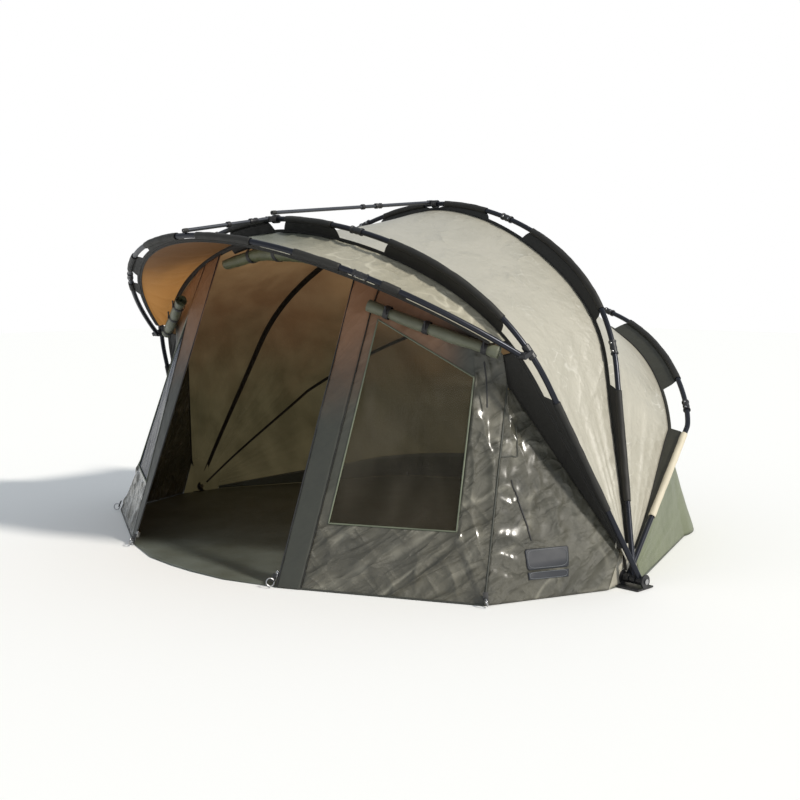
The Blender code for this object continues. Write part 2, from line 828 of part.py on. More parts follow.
def window_corners():
    # Columns: door edge, strip edge, window left, window right, tent corner.
    foot = strip_edge(0.0)
    corner = Vector((CORNER_X, CORNER_Y, 0.0))
    panel_top = gusset_edge(PANEL_TOP_R, 1, 1)
    plane = rib_plane(FRONT_RIB)
    offset = WALL_OFFSET
    shoulder = plane.place(Vector((SHOULDER_CORNER_X, SHOULDER_CORNER_R)), 1, offset)
    low_right = on_wall(WINDOW_RIGHT_X, WINDOW_BOTTOM_Z)
    high_right = on_wall(WINDOW_TOP_RIGHT_X, WINDOW_TOP_RIGHT_Z)
    low_share = WINDOW_BOTTOM_Z / wall_top_z(DOOR_TOP_X)
    high_share = WINDOW_TOP_Z / wall_top_z(DOOR_TOP_X)
    strip_low = strip_edge(low_share)
    strip_high = strip_edge(high_share)
    low_left = strip_low.lerp(low_right, WINDOW_LEFT_SHARE)
    high_left = strip_high.lerp(high_right, WINDOW_LEFT_SHARE)
    left_top = wall_top(high_left.x + STRIP_WIDTH / 2)
    right_top = wall_top(SHOULDER_CORNER_X - STRIP_WIDTH)
    edge_low = corner.lerp(panel_top, WINDOW_BOTTOM_Z / panel_top.z)
    left_foot = foot.lerp(corner, WINDOW_LEFT_FOOT_SHARE)
    right_foot = foot.lerp(corner, WINDOW_RIGHT_FOOT_SHARE)
    return [
        [door_edge(0.0), foot, left_foot, right_foot, corner],
        [door_edge(low_share), strip_low, low_left, low_right, edge_low],
        [door_edge(high_share), strip_high, high_left, high_right, panel_top],
        [wall_top(DOOR_TOP_X), wall_top(DOOR_TOP_X + STRIP_TOP_WIDTH), left_top, right_top, shoulder],
    ]


def make_window_panel(side, parts=3):
    corners = window_corners()
    middles = subdivided(corners, parts)
    half = wall_half()
    halves = [[half for _ in row] for row in middles]
    halves[0] = [floor_half(half) for _ in middles[0]]
    opening = {(i, j) for i in range(parts, 2 * parts) for j in range(2 * parts, 3 * parts)}
    sheet(
        side_name("window_panel", side),
        [[mirrored(p, side) for p in row] for row in middles],
        [[mirrored(h, side) for h in row] for row in halves],
        "wall",
        opening,
    )
    make_pane(side, corners, parts, half)


def make_pane(side, corners, parts, half):
    inner = [corners[1][2:4], corners[2][2:4]]
    centre = (inner[0][0] + inner[0][1] + inner[1][0] + inner[1][1]) / 4
    shrink = 2.0 * GAP / (inner[0][0] - centre).length
    inner = [[p.lerp(centre, shrink) for p in row] for row in inner]
    middles = subdivided(inner, parts)
    thin = half * (PANE_THICKNESS / CLOTH_THICKNESS)
    sheet(
        side_name("window_pane", side),
        [[mirrored(p, side) for p in row] for row in middles],
        [[mirrored(thin, side) for _ in row] for row in middles],
        "pane",
    )


def make_flap(side, count=8):
    # The roll lies on the panel above the window, from the strip to the shoulder corner.
    corners = window_corners()
    stand = wall_half().normalized() * (CLOTH_THICKNESS / 2 + FLAP_RADIUS + FLAP_STAND)
    start = corners[2][1].lerp(corners[3][1], FLAP_START_SHARE) + stand
    end = corners[2][-1].lerp(corners[3][-1], FLAP_END_SHARE) + stand
    points = [mirrored(start.lerp(end, i / count), side) for i in range(count + 1)]
    tube(side_name("rolled_flap", side), points, FLAP_RADIUS, "wall")


def make_door_roll(count=16):
    # Follows the front rib's seam under the hood, held up at three places.
    outline = rib_outline(FRONT_RIB)
    plane = rib_plane(FRONT_RIB)
    points = []
    for i in range(count + 1):
        x = DOOR_ROLL_HALF * (2.0 * i / count - 1.0)
        _, point = share_at_x(outline, abs(x))
        offset = WEB_THICKNESS / 2 + GAP + DOOR_ROLL_RADIUS * math.cos(math.pi / TUBE_SIDES)
        place = Vector((abs(x), point.y - DOOR_ROLL_DROP))
        points.append(plane.place(place, 1 if x >= 0 else -1, offset))
    tube("rolled_door", points, DOOR_ROLL_RADIUS, "wall")


def make_slider(side):
    start = door_edge(0.0)
    up = (door_edge(1.0) - start).normalized()
    outward = wall_half().normalized()
    beside = up.cross(outward).normalized()
    if beside.x > 0:
        beside = -beside
    centre = start + up * SLIDER_START + beside * (SLIDER_WIDTH / 2 + GAP)
    build = bmesh.new()
    bmesh.ops.create_cube(build, size=1.0)
    bmesh.ops.scale(build, vec=(SLIDER_WIDTH, SLIDER_THICKNESS, SLIDER_LENGTH), verts=build.verts)
    bmesh.ops.bevel(build, geom=build.edges, offset=SLIDER_BEVEL, segments=1, affect="EDGES")
    turn = Matrix((beside, outward, up)).transposed().to_4x4()
    bmesh.ops.transform(build, matrix=Matrix.Translation(centre) @ turn, verts=build.verts)
    for vert in build.verts:
        vert.co.x *= side
    add_object(side_name("zip_slider", side), finish_mesh(build, "slider"), "steel")


# Hood rib
def make_peak_rib():
    outline = peak_outline()
    plane = peak_plane()
    first = (PEAK_EYE_RADIUS - POLE_RADIUS / 2) / outline[1][-1]
    sides = make_poles("peak", outline, plane, (PEAK_KNUCKLE_SHARE,), first, PEAK_STEPS)
    for pole, side in zip(sides, (1, -1)):
        centre = plane.place(along(outline, 0.0)[0], side)
        reach = Vector((PEAK_EYE_WIDTH / 2, 0.0, 0.0))
        eye = rod(pole.name + "_eye", centre - reach, centre + reach, PEAK_EYE_RADIUS, "pole")
        past = reach + Vector((OVERRUN, 0.0, 0.0))
        bore_radius = PEAK_PIN_RADIUS + EYE_CLEARANCE
        bore = rod(pole.name + "_bore", centre - past, centre + past, bore_radius, "pole")
        combine(pole, [eye], "UNION")
        combine(pole, [bore], "DIFFERENCE")
        name = side_name("peak_knuckle", side)
        knuckle(name, outline, plane, PEAK_KNUCKLE_SHARE, side, PEAK_KNUCKLE_RADIUS)
    make_peak_web(outline, plane)


def make_peak_web(outline, plane):
    inner = []
    outer = []
    spans = []
    low = HOOD_PEAK_START_SHARE
    for start, end in PEAK_FIN_SHARES:
        spans += [(low, start - FIN_SLOPE_SHARE, False), (start, end, True)]
        low = end + FIN_SLOPE_SHARE
    spans.append((low, 1.0, False))
    for start, end, full in spans:
        for share in grid_shares(start, end, steps=PEAK_STEPS):
            depth = peak_depth(share)
            top = POLE_RADIUS + GAP if full else depth - PIPING_WIDTH
            # Between grid stations the pole is a chord, so the fin keeps off its facets.
            outer.append(in_from(outline, share, top + (2 * GAP if full else 0.0)))
            inner.append(in_from(outline, share, depth + WEB_LAP))
    web_sheet("peak_web", plane, inner, outer)


def make_peak_clamp(side):
    outline = rib_outline(FRONT_RIB)
    plane = rib_plane(FRONT_RIB)
    name = side_name("peak_clamp", side)
    body = knuckle(name, outline, plane, FRONT_RIB["collar_share"], side, KNUCKLE_RADIUS)
    body_centre = plane.place(clamp_place(), side)
    centre = plane.place(clamp_place(), side, PEAK_FORWARD)
    outer = Vector((side, 0.0, 0.0))
    arm = make_clamp_arm(name + "_arm", body_centre, plane, side)
    eye_end = peak_offset() + PEAK_EYE_WIDTH / 2 + EYE_CLEARANCE
    pin_start = centre + outer * (PEAK_ARM_OUT + PEAK_ARM_WIDTH / 2)
    pin_end = centre - outer * (eye_end + CHEEK_THICKNESS / 2)
    pin = rod(name + "_pin", pin_start, pin_end, PEAK_PIN_RADIUS, "knuckle")
    head_start = centre - outer * eye_end
    head_end = head_start - outer * CHEEK_THICKNESS
    head = rod(name + "_head", head_start, head_end, PEAK_PIN_HEAD_RADIUS, "knuckle")
    combine(body, [arm, pin, head], "UNION")


def make_clamp_arm(name, centre, plane, side):
    # A plate beside the eye, reaching forward from the clamp to past the pin.
    build = bmesh.new()
    bmesh.ops.create_cube(build, size=1.0)
    length = PEAK_FORWARD + PEAK_EYE_RADIUS
    bmesh.ops.scale(build, vec=(PEAK_ARM_WIDTH, length, PEAK_ARM_HEIGHT), verts=build.verts)
    across = Vector((1.0, 0.0, 0.0))
    turn = Matrix((across, plane.normal, across.cross(plane.normal))).transposed().to_4x4()
    middle = centre + across * side * (PEAK_ARM_OUT + PEAK_ARM_WIDTH / 2) + plane.normal * (length / 2)
    bmesh.ops.transform(build, matrix=Matrix.Translation(middle) @ turn, verts=build.verts)
    return add_object(name, finish_mesh(build, name), "knuckle")


# Pivots
def make_pivot(side):
    name = side_name("pivot_block", side)
    inner = HALF_SPAN - EYE_PITCH - EYE_WIDTH / 2 - CHEEK_PLAY
    outer = HALF_SPAN + EYE_PITCH + EYE_WIDTH / 2 + CHEEK_PLAY
    lowest = Vector((inner - CHEEK_THICKNESS, -BASE_PLATE_LENGTH / 2, 0.0))
    highest = Vector((outer + CHEEK_THICKNESS, BASE_PLATE_LENGTH / 2, BASE_PLATE_THICKNESS))
    if side < 0:
        lowest.x, highest.x = -highest.x, -lowest.x
    base = block(name, lowest, highest, "knuckle")
    cheeks = []
    for number, x in enumerate((inner - CHEEK_THICKNESS, outer)):
        start = Vector((x * side, 0.0, AXLE_HEIGHT))
        end = Vector(((x + CHEEK_THICKNESS) * side, 0.0, AXLE_HEIGHT))
        cheeks.append(rod(f"{name}_cheek_{number}", start, end, CHEEK_RADIUS, "knuckle", sides=20))
    combine(base, cheeks, "UNION")
    past = Vector(((inner - CHEEK_THICKNESS - OVERRUN) * side, 0.0, AXLE_HEIGHT))
    beyond = Vector(((outer + CHEEK_THICKNESS + OVERRUN) * side, 0.0, AXLE_HEIGHT))
    bore = rod(name + "_bore", past, beyond, AXLE_RADIUS + GAP, "knuckle")
    combine(base, [bore], "DIFFERENCE")
    make_axle(side, inner - CHEEK_THICKNESS - GAP, outer + CHEEK_THICKNESS + GAP)


def make_axle(side, inner, outer):
    # A lathe profile: a shank with a head at each end.
    profile = [
        (inner - AXLE_HEAD_LENGTH, 0.0),
        (inner - AXLE_HEAD_LENGTH, AXLE_HEAD_RADIUS),
        (inner, AXLE_HEAD_RADIUS),
        (inner, AXLE_RADIUS),
        (outer, AXLE_RADIUS),
        (outer, AXLE_HEAD_RADIUS),
        (outer + AXLE_HEAD_LENGTH, AXLE_HEAD_RADIUS),
        (outer + AXLE_HEAD_LENGTH, 0.0),
    ]
    build = bmesh.new()
    verts = [build.verts.new((x * side, 0.0, AXLE_HEIGHT + r)) for x, r in profile]
    edges = [build.edges.new(pair) for pair in zip(verts, verts[1:])]
    bmesh.ops.spin(
        build,
        geom=verts + edges,
        cent=(0.0, 0.0, AXLE_HEIGHT),
        axis=(1.0, 0.0, 0.0),
        angle=2.0 * math.pi,
        steps=12,
        use_merge=True,
        use_duplicate=False,
    )
    bmesh.ops.remove_doubles(build, verts=build.verts, dist=MERGE)
    add_object(side_name("axle", side), finish_mesh(build, "axle"), "steel")


# Tension bars
def crown_place(plane, rise):
    return plane.place(Vector((0.0, rise)))


def hinge_place(crown, down):
    return crown + Vector((0.0, -LUG_REACH, down))


def make_lug(name, crown, hinge):
    reach = Vector((LUG_LENGTH / 2, 0.0, 0.0))
    body = rod(name, crown - reach, crown + reach, LUG_RADIUS, "knuckle", sides=16)
    cheeks = []
    for side in (1, -1):
        near = BAR_EYE_WIDTH / 2 + EYE_CLEARANCE
        far = near + LUG_CHEEK_THICKNESS
        low = min(near * side, far * side)
        high = max(near * side, far * side)
        start = Vector((low, hinge.y - LUG_CHEEK_HEIGHT / 2, hinge.z - LUG_CHEEK_HEIGHT / 2))
        end = Vector((high, crown.y, hinge.z + LUG_CHEEK_HEIGHT / 2))
        cheeks.append(block(f"{name}_cheek_{side}", start, end, "knuckle"))
    past = Vector((BAR_EYE_WIDTH / 2 + LUG_CHEEK_THICKNESS, 0.0, 0.0))
    pin = rod(name + "_pin", hinge - past, hinge + past, BAR_PIN_RADIUS, "knuckle", sides=12)
    combine(body, cheeks + [pin], "UNION")
    through = reach + Vector((OVERRUN, 0.0, 0.0))
    bore = rod(name + "_bore", crown - through, crown + through, LUG_BORE_RADIUS, "knuckle", sides=16)
    combine(body, [bore], "DIFFERENCE")


def make_bar(name, hinge, tip):
    direction = (tip - hinge).normalized()
    body = rod(name, hinge + direction * BAR_PIN_RADIUS * 2, tip, BAR_RADIUS, "pole", sides=12)
    reach = Vector((BAR_EYE_WIDTH / 2, 0.0, 0.0))
    eye = rod(name + "_eye", hinge - reach, hinge + reach, BAR_EYE_RADIUS, "pole")
    past = reach + Vector((OVERRUN, 0.0, 0.0))
    bore = rod(name + "_bore", hinge - past, hinge + past, BAR_PIN_RADIUS + EYE_CLEARANCE, "pole")
    combine(body, [eye], "UNION")
    combine(body, [bore], "DIFFERENCE")


def bar_tip(hinge, crown, seat):
    # The bar lies on top of what it reaches, so its line clears that seat.
    lift = seat + BAR_RADIUS + GAP
    over = crown + Vector((0.0, 0.0, lift))
    direction = (over - hinge).normalized()
    upward = Vector((0.0, direction.z, -direction.y))
    if upward.z < 0:
        upward = -upward
    touch = crown + upward * lift
    return touch + direction * BAR_TIP_OVERHANG


def make_bars():
    main_crown = crown_place(rib_plane(MAIN_RIB), MAIN_RIB["crown_r"])
    front_crown = crown_place(rib_plane(FRONT_RIB), FRONT_RIB["crown_r"])
    peak_crown = crown_place(peak_plane(), PEAK_RISE)
    main_hinge = hinge_place(main_crown, POLE_RADIUS / 2)
    front_hinge = hinge_place(front_crown, 0.0)
    make_lug("main_lug", main_crown, main_hinge)
    make_lug("front_lug", front_crown, front_hinge)
    make_bar("rear_bar", main_hinge, bar_tip(main_hinge, front_crown, LUG_RADIUS))
    make_bar("front_bar", front_hinge, bar_tip(front_hinge, peak_crown, POLE_RADIUS))


# Groundsheet
def offset_inward(points, distance):
    # The outline runs clockwise seen from above, so its inside lies to the right of each edge.
    moved = []
    count = len(points)
    for i, point in enumerate(points):
        before = (point - points[i - 1]).normalized()
        after = (points[(i + 1) % count] - point).normalized()
        first = Vector((before.y, -before.x, 0.0))
        second = Vector((after.y, -after.x, 0.0))
        mitre = (first + second).normalized()
        moved.append(point + mitre * (distance / mitre.dot(first)))
    return moved


def make_groundsheet():
    corner = Vector((CORNER_X, CORNER_Y, 0.0))
    hub = Vector((HALF_SPAN, 0.0, 0.0))
    rear_start = rear_ground(PIPING_START_SHARE)[0]
    front_start = hub + (corner - hub).normalized() * WALL_START
    beside_x = HALF_SPAN - EYE_PITCH - EYE_WIDTH / 2 - CHEEK_PLAY - CHEEK_THICKNESS
    right = [
        Vector((0.0, SILL_Y, 0.0)),
        Vector((DOOR_X / 2, SILL_SIDE_Y, 0.0)),
        Vector((DOOR_X, DOOR_Y, 0.0)),
        corner,
        front_start,
        Vector((beside_x, -BASE_PLATE_LENGTH / 2, 0.0)),
        Vector((beside_x, BASE_PLATE_LENGTH / 2, 0.0)),
        rear_start,
    ]
    right += [rear_ground(share)[0] for share in panel_shares() if share >= REAR_RIB["collar_share"]]
    front_middle, *sides, rear_middle = right
    left = [mirrored(point, -1) for point in sides]
    outline = [front_middle, *left, rear_middle, *reversed(sides)]
    build = bmesh.new()
    verts = [build.verts.new(point) for point in offset_inward(outline, SHEET_INSET)]
    face = build.faces.new(verts)
    lifted = bmesh.ops.extrude_face_region(build, geom=[face])
    top = [item for item in lifted["geom"] if isinstance(item, bmesh.types.BMVert)]
    bmesh.ops.translate(build, vec=(0.0, 0.0, SHEET_THICKNESS), verts=top)
    add_object("groundsheet", finish_mesh(build, "groundsheet"), "groundsheet")


def main():
    clear_scene()
    for rib in RIBS:
        make_rib(rib)
    canopy("back_canopy", REAR_RIB, MAIN_RIB, 4)
    canopy("mid_canopy", MAIN_RIB, FRONT_RIB, 4)
    make_rear_wall()
    make_peak_rib()
    make_hood()
    make_door_roll()
    make_bars()
    make_groundsheet()
    for side in (1, -1):
        make_pivot(side)
        make_peak_clamp(side)
        make_side_panel(side)
        make_window_panel(side)
        make_flap(side)
        make_slider(side)


main()
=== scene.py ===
import json
import math

import bmesh
import bpy
import numpy as np
from mathutils import Matrix, Vector, noise


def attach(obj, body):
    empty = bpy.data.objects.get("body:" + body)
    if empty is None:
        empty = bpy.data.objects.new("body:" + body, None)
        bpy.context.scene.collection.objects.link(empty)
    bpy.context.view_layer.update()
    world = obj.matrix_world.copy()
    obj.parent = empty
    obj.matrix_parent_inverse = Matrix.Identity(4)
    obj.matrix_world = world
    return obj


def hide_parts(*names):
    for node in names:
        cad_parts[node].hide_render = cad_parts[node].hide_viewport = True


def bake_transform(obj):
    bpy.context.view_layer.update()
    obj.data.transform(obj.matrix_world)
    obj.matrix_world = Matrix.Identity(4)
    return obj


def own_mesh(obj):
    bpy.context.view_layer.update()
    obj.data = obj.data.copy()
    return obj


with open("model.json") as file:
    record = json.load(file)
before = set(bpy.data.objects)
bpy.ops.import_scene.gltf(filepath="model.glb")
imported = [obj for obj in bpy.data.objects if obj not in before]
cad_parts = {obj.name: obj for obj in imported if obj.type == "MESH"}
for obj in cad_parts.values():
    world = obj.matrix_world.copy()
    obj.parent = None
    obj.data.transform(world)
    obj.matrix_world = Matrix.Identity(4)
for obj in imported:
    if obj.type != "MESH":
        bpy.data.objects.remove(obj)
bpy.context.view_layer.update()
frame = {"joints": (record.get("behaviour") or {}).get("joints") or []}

scene = bpy.context.scene
scene.view_settings.view_transform = "Standard"
jointPlace = {joint["name"]: joint.get("pos_m") for joint in frame["joints"]}
sidesOfTent = ((1, "right"), (-1, "left"))

# Camera and light
camera = {"place": (4.005, -3.742, 1.175), "turn": (84.115, 0.0, 45.684), "lens": 53.51}
light = {
    "sunFrom": (1.0, 0.16, 0.74),
    "sunPower": 3.1,
    "sunWidth": 6.0,
    "sunColour": (1.0, 0.95, 0.87),
    "skyPower": 0.58,
    "skyColour": (0.88, 0.94, 1.0, 1.0),
    "floorColour": (0.93, 0.93, 0.92, 1.0),
    "floorSize": 40.0,
    "floorDrop": 0.002,
}


def makeStage():
    bpy.ops.object.camera_add(location=camera["place"], rotation=[math.radians(a) for a in camera["turn"]])
    scene.camera = bpy.context.object
    scene.camera.data.lens = camera["lens"]
    toward = Vector(light["sunFrom"]).to_track_quat("Z", "Y").to_euler()
    bpy.ops.object.light_add(type="SUN", rotation=toward)
    sun = bpy.context.object.data
    sun.energy = light["sunPower"]
    sun.angle = math.radians(light["sunWidth"])
    sun.color = light["sunColour"]
    scene.world = bpy.data.worlds.new("sky")
    scene.world.use_nodes = True
    nodes, links = scene.world.node_tree.nodes, scene.world.node_tree.links
    sky = nodes["Background"]
    sky.inputs["Color"].default_value = light["skyColour"]
    sky.inputs["Strength"].default_value = light["skyPower"]
    white = nodes.new("ShaderNodeBackground")
    white.inputs["Color"].default_value = (1.0, 1.0, 1.0, 1.0)
    mixed = nodes.new("ShaderNodeMixShader")
    links.new(nodes.new("ShaderNodeLightPath").outputs["Is Camera Ray"], mixed.inputs[0])
    links.new(sky.outputs[0], mixed.inputs[1])
    links.new(white.outputs[0], mixed.inputs[2])
    links.new(mixed.outputs[0], nodes["World Output"].inputs["Surface"])
    bpy.ops.mesh.primitive_plane_add(size=light["floorSize"], location=(0.0, 0.0, -light["floorDrop"]))
    floor = bpy.context.object
    floor.name = "floor"
    floor.data.materials.append(Finish("paleFloor").paint(baseColor=light["floorColour"], roughness=0.9))
    print("stage and camera made")


# Shader maths: a link on a socket that adds Math nodes when it is used in sums
class Link:
    def __init__(self, finish, socket):
        self.finish = finish
        self.socket = socket

    def maths(self, operation, *values):
        return self.finish.add("ShaderNodeMath", {"operation": operation}, dict(enumerate(values)))

    def __add__(self, other):
        return self.maths("ADD", self, other)

    def __radd__(self, other):
        return self.maths("ADD", other, self)

    def __sub__(self, other):
        return self.maths("SUBTRACT", self, other)

    def __rsub__(self, other):
        return self.maths("SUBTRACT", other, self)

    def __mul__(self, other):
        return self.maths("MULTIPLY", self, other)

    def __rmul__(self, other):
        return self.maths("MULTIPLY", other, self)

    def __abs__(self):
        return self.maths("ABSOLUTE", self)


class Finish:
    def __init__(self, name):
        self.material = bpy.data.materials.new(name)
        self.material.use_nodes = True
        self.tree = self.material.node_tree
        self.shader = self.tree.nodes["Principled BSDF"]

    def add(self, kind, settings=None, values=None, out=0):
        node = self.tree.nodes.new(kind)
        for key, value in (settings or {}).items():
            if key == "stops":
                for element, (place, shade) in zip(node.color_ramp.elements, value):
                    element.position = place
                    element.color = (shade, shade, shade, 1.0)
            else:
                setattr(node, key, value)
        for key, value in (values or {}).items():
            self.feed(node.inputs[key], value)
        return Link(self, node.outputs[out])

    def feed(self, socket, value):
        if isinstance(value, Link):
            self.tree.links.new(value.socket, socket)
        else:
            socket.default_value = value

    def paint(self, **values):
        for key, value in values.items():
            name = "".join(" " + c if c.isupper() else c for c in key).strip().title().replace("Ior", "IOR")
            self.feed(self.shader.inputs[name], value)
        return self.material

    def place(self):
        return self.add("ShaderNodeTexCoord", out="Object")

    def cut(self):
        return self.add("ShaderNodeTexCoord", out="UV")

    def axis(self, where, number):
        return self.add("ShaderNodeSeparateXYZ", None, {0: where}, out=number)

    def rise(self, value, low, high):
        # 0 below low and 1 above high, and smooth between them.
        values = {0: value, 1: low, 2: high}
        return self.add("ShaderNodeMapRange", {"interpolation_type": "SMOOTHSTEP"}, values)

    def ramp(self, value, low, high, least=0.0):
        return self.add("ShaderNodeValToRGB", {"stops": ((low, least), (high, 1.0))}, {"Fac": value})

    def drawnOut(self, where, angles, stretch):
        # Marks grow longer along the turned axes by the stretch.
        values = {"Vector": where, "Rotation": angles, "Scale": stretch}
        return self.add("ShaderNodeMapping", {"vector_type": "TEXTURE"}, values)

    def creased(self, where, scale, detail=1.5):
        # Sharp ridges between smooth hollows, as in crumpled proofed cloth.
        values = {"Vector": where, "Scale": scale, "Detail": detail, "Roughness": 0.5, "Lacunarity": 2.1}
        values.update({"Offset": 0.95, "Gain": 1.4, "Distortion": 0.5})
        return self.add("ShaderNodeTexNoise", {"noise_type": "RIDGED_MULTIFRACTAL"}, values)

    def cloud(self, where, scale, detail=3.0, rough=0.5, distortion=0.0):
        values = {"Vector": where, "Scale": scale, "Detail": detail, "Roughness": rough}
        values["Distortion"] = distortion
        return self.add("ShaderNodeTexNoise", {"normalize": True}, values)

    def hairlines(self, where, scale, width, curl=0.8):
        # Thin crease lines: where a cloud passes its middle value.
        return 1.0 - self.ramp(abs(self.cloud(where, scale, curl * 2.0, 0.5, curl) - 0.5), 0.0, width)

    def threads(self, direction):
        values = {"Vector": self.cut(), "Scale": math.tau / weavePitch / 20}
        return self.add("ShaderNodeTexWave", {"wave_type": "BANDS", "bands_direction": direction}, values)

    def weave(self):
        return self.threads("X") * 0.5 + self.threads("Y") * 0.5

    def blend(self, factor, low, high):
        values = {0: factor, 6: low, 7: high}
        return self.add("ShaderNodeMix", {"data_type": "RGBA"}, values, out=2)

    def bump(self, height, strength, distance=0.002):
        values = {"Height": height, "Strength": strength, "Distance": distance}
        return self.add("ShaderNodeBump", None, values)


def colour(red, green, blue):
    return (red, green, blue, 1.0)


def times(shade, amount, more=0.0):
    return colour(*[c * amount + more for c in shade[:3]])


# Cloth: colour and patch colour in linear light, roughness, crinkle, and for some gloss, sharpness and depth
weavePitch = 0.0016
clothLooks = {
    "canopyOuter": (colour(0.445, 0.422, 0.350), colour(0.385, 0.368, 0.302), 0.38, 0.75, 0.95, 1.1, 0.009),
    "webCloth": (colour(0.007, 0.0065, 0.005), colour(0.012, 0.011, 0.008), 0.62, 0.45),
    "rearWebCloth": (colour(0.036, 0.036, 0.024), colour(0.024, 0.024, 0.017), 0.55, 0.40),
    "rearCloth": (colour(0.150, 0.168, 0.098), colour(0.120, 0.136, 0.082), 0.50, 0.40),
    "sleeveTan": (colour(0.62, 0.56, 0.43), colour(0.50, 0.45, 0.34), 0.55, 0.40),
    "rollOlive": (colour(0.105, 0.112, 0.052), colour(0.058, 0.066, 0.032), 0.42, 0.50),
    "rollPale": (colour(0.165, 0.175, 0.125), colour(0.095, 0.100, 0.062), 0.45, 0.50),
    # groundCloth's paler bluish patch colour is partly the cloth's mottling and partly painted sky
    # reflection.
    "groundCloth": (colour(0.078, 0.085, 0.062), colour(0.135, 0.152, 0.130), 0.48, 0.55),
    "pipingPale": (colour(0.175, 0.195, 0.135), colour(0.090, 0.105, 0.072), 0.50, 0.20),
    "bandBrown": (colour(0.030, 0.022, 0.014), colour(0.022, 0.017, 0.011), 0.60, 0.30),
    "patchNavy": (colour(0.008, 0.011, 0.018), colour(0.011, 0.014, 0.022), 0.50, 0.05),
    "patchEdge": (colour(0.110, 0.120, 0.130), colour(0.080, 0.090, 0.100), 0.50, 0.05),
    "strapBlack": (colour(0.012, 0.012, 0.013), colour(0.024, 0.024, 0.025), 0.60, 0.10),
}
hardLooks = {
    "pole": (colour(0.016, 0.018, 0.026), 0.55, 0.30),
    "alloy": (colour(0.10, 0.105, 0.12), 0.85, 0.32),
    "steel": (colour(0.42, 0.42, 0.43), 1.0, 0.28),
}


def makeCloth(name, shade, patch, rough, crinkle, specular=0.5, sharp=0.0, depth=0.006):
    finish = Finish(name)
    where = finish.place()
    patches = finish.cloud(where, 3.0, 4.0, 0.6)
    soil = finish.cloud(where, 22.0)
    tone = finish.blend(finish.ramp(patches, 0.32, 0.68), shade, patch)
    tone = finish.blend(finish.ramp(soil, 0.55, 0.80) * 0.35, tone, times(patch, 0.82))
    height = finish.cloud(where, 16.0, 5.0, 0.62, 1.2) + finish.weave() * 0.06
    if sharp:
        crossed = finish.creased(finish.drawnOut(finish.cut(), (0.0, 0.0, 0.6), (1.0, 3.0, 1.0)), 6.0)
        height = height * 0.5 + crossed * finish.ramp(patches, 0.45, 0.62, 0.1) * sharp
        # Pale hairlines along the creases are painted highlights.
        drawn = finish.drawnOut(where, (0.5, 0.6, 0.2), (1.0, 1.0, 2.6))
        paintedCreaseGlints = finish.hairlines(drawn, 9.0, 0.014) * finish.ramp(patches, 0.50, 0.64)
        tone = finish.blend(paintedCreaseGlints * 0.55, tone, colour(0.74, 0.72, 0.66))
    return finish.paint(
        baseColor=tone,
        roughness=rough + (soil - 0.5) * 0.16,
        sheenWeight=0.03,
        specularIorLevel=specular,
        normal=finish.bump(height, crinkle, depth),
    )


def makeInnerCloth():
    # Painted light: the sky shining through the cloth is painted in, as a base colour that goes brown high up
    # and olive lower down and as an emission that glows brightest high up, with painted fold shade and
    # highlights in it.
    finish = Finish("canopyInner")
    where = finish.place()
    patches = finish.cloud(where, 2.2, 3.0, 0.6)
    high = finish.rise(finish.axis(where, 2) + (patches - 0.5) * 0.5, 0.45, 1.15)
    lit = finish.rise(finish.axis(where, 0) + (patches - 0.5) * 0.4, -1.10, -0.45)
    tone = finish.blend(high, colour(0.088, 0.076, 0.038), colour(0.150, 0.080, 0.037))
    # Painted shade and highlights in the folds of the glow.
    paintedFoldLight = finish.cloud(finish.drawnOut(where, (0.25, -0.55, 0.0), (1.0, 1.0, 8.0)), 8.0, 2.0, 0.5, 0.2)
    # Painted glow where the cloth is high up and away from the left.
    glow = finish.blend(high * lit, tone, colour(0.400, 0.240, 0.110))
    dark = finish.blend(0.16, glow, colour(0.0, 0.0, 0.0))
    pale = finish.blend(0.09, glow, colour(0.50, 0.42, 0.24))
    return finish.paint(
        baseColor=tone,
        roughness=0.60,
        emissionColor=finish.blend(finish.ramp(paintedFoldLight, 0.35, 0.70), dark, pale),
        emissionStrength=0.42,
        normal=finish.bump(finish.cloud(where, 12.0, 5.0, 0.6, 1.0) + finish.weave() * 0.06, 0.45, 0.006),
    )


def makeHoodInner():
    # Painted light: the sun shining through the hood is painted on its inner side as an orange colour and
    # emission, stronger towards its left rim.
    finish = Finish("hoodInner")
    where = finish.place()
    patches = finish.cloud(where, 2.6, 3.0, 0.6)
    left = finish.rise(finish.axis(where, 0) + (patches - 0.5) * 0.3, -0.40, -1.00)
    # Painted light: orange glow towards the left rim, also used as emission.
    tone = finish.blend(left, colour(0.100, 0.050, 0.020), colour(0.44, 0.215, 0.065))
    return finish.paint(
        baseColor=tone,
        roughness=0.60,
        emissionColor=tone,
        emissionStrength=0.55,
        normal=finish.bump(finish.cloud(where, 14.0, 5.0, 0.6, 1.0) + finish.weave() * 0.06, 0.4, 0.006),
    )


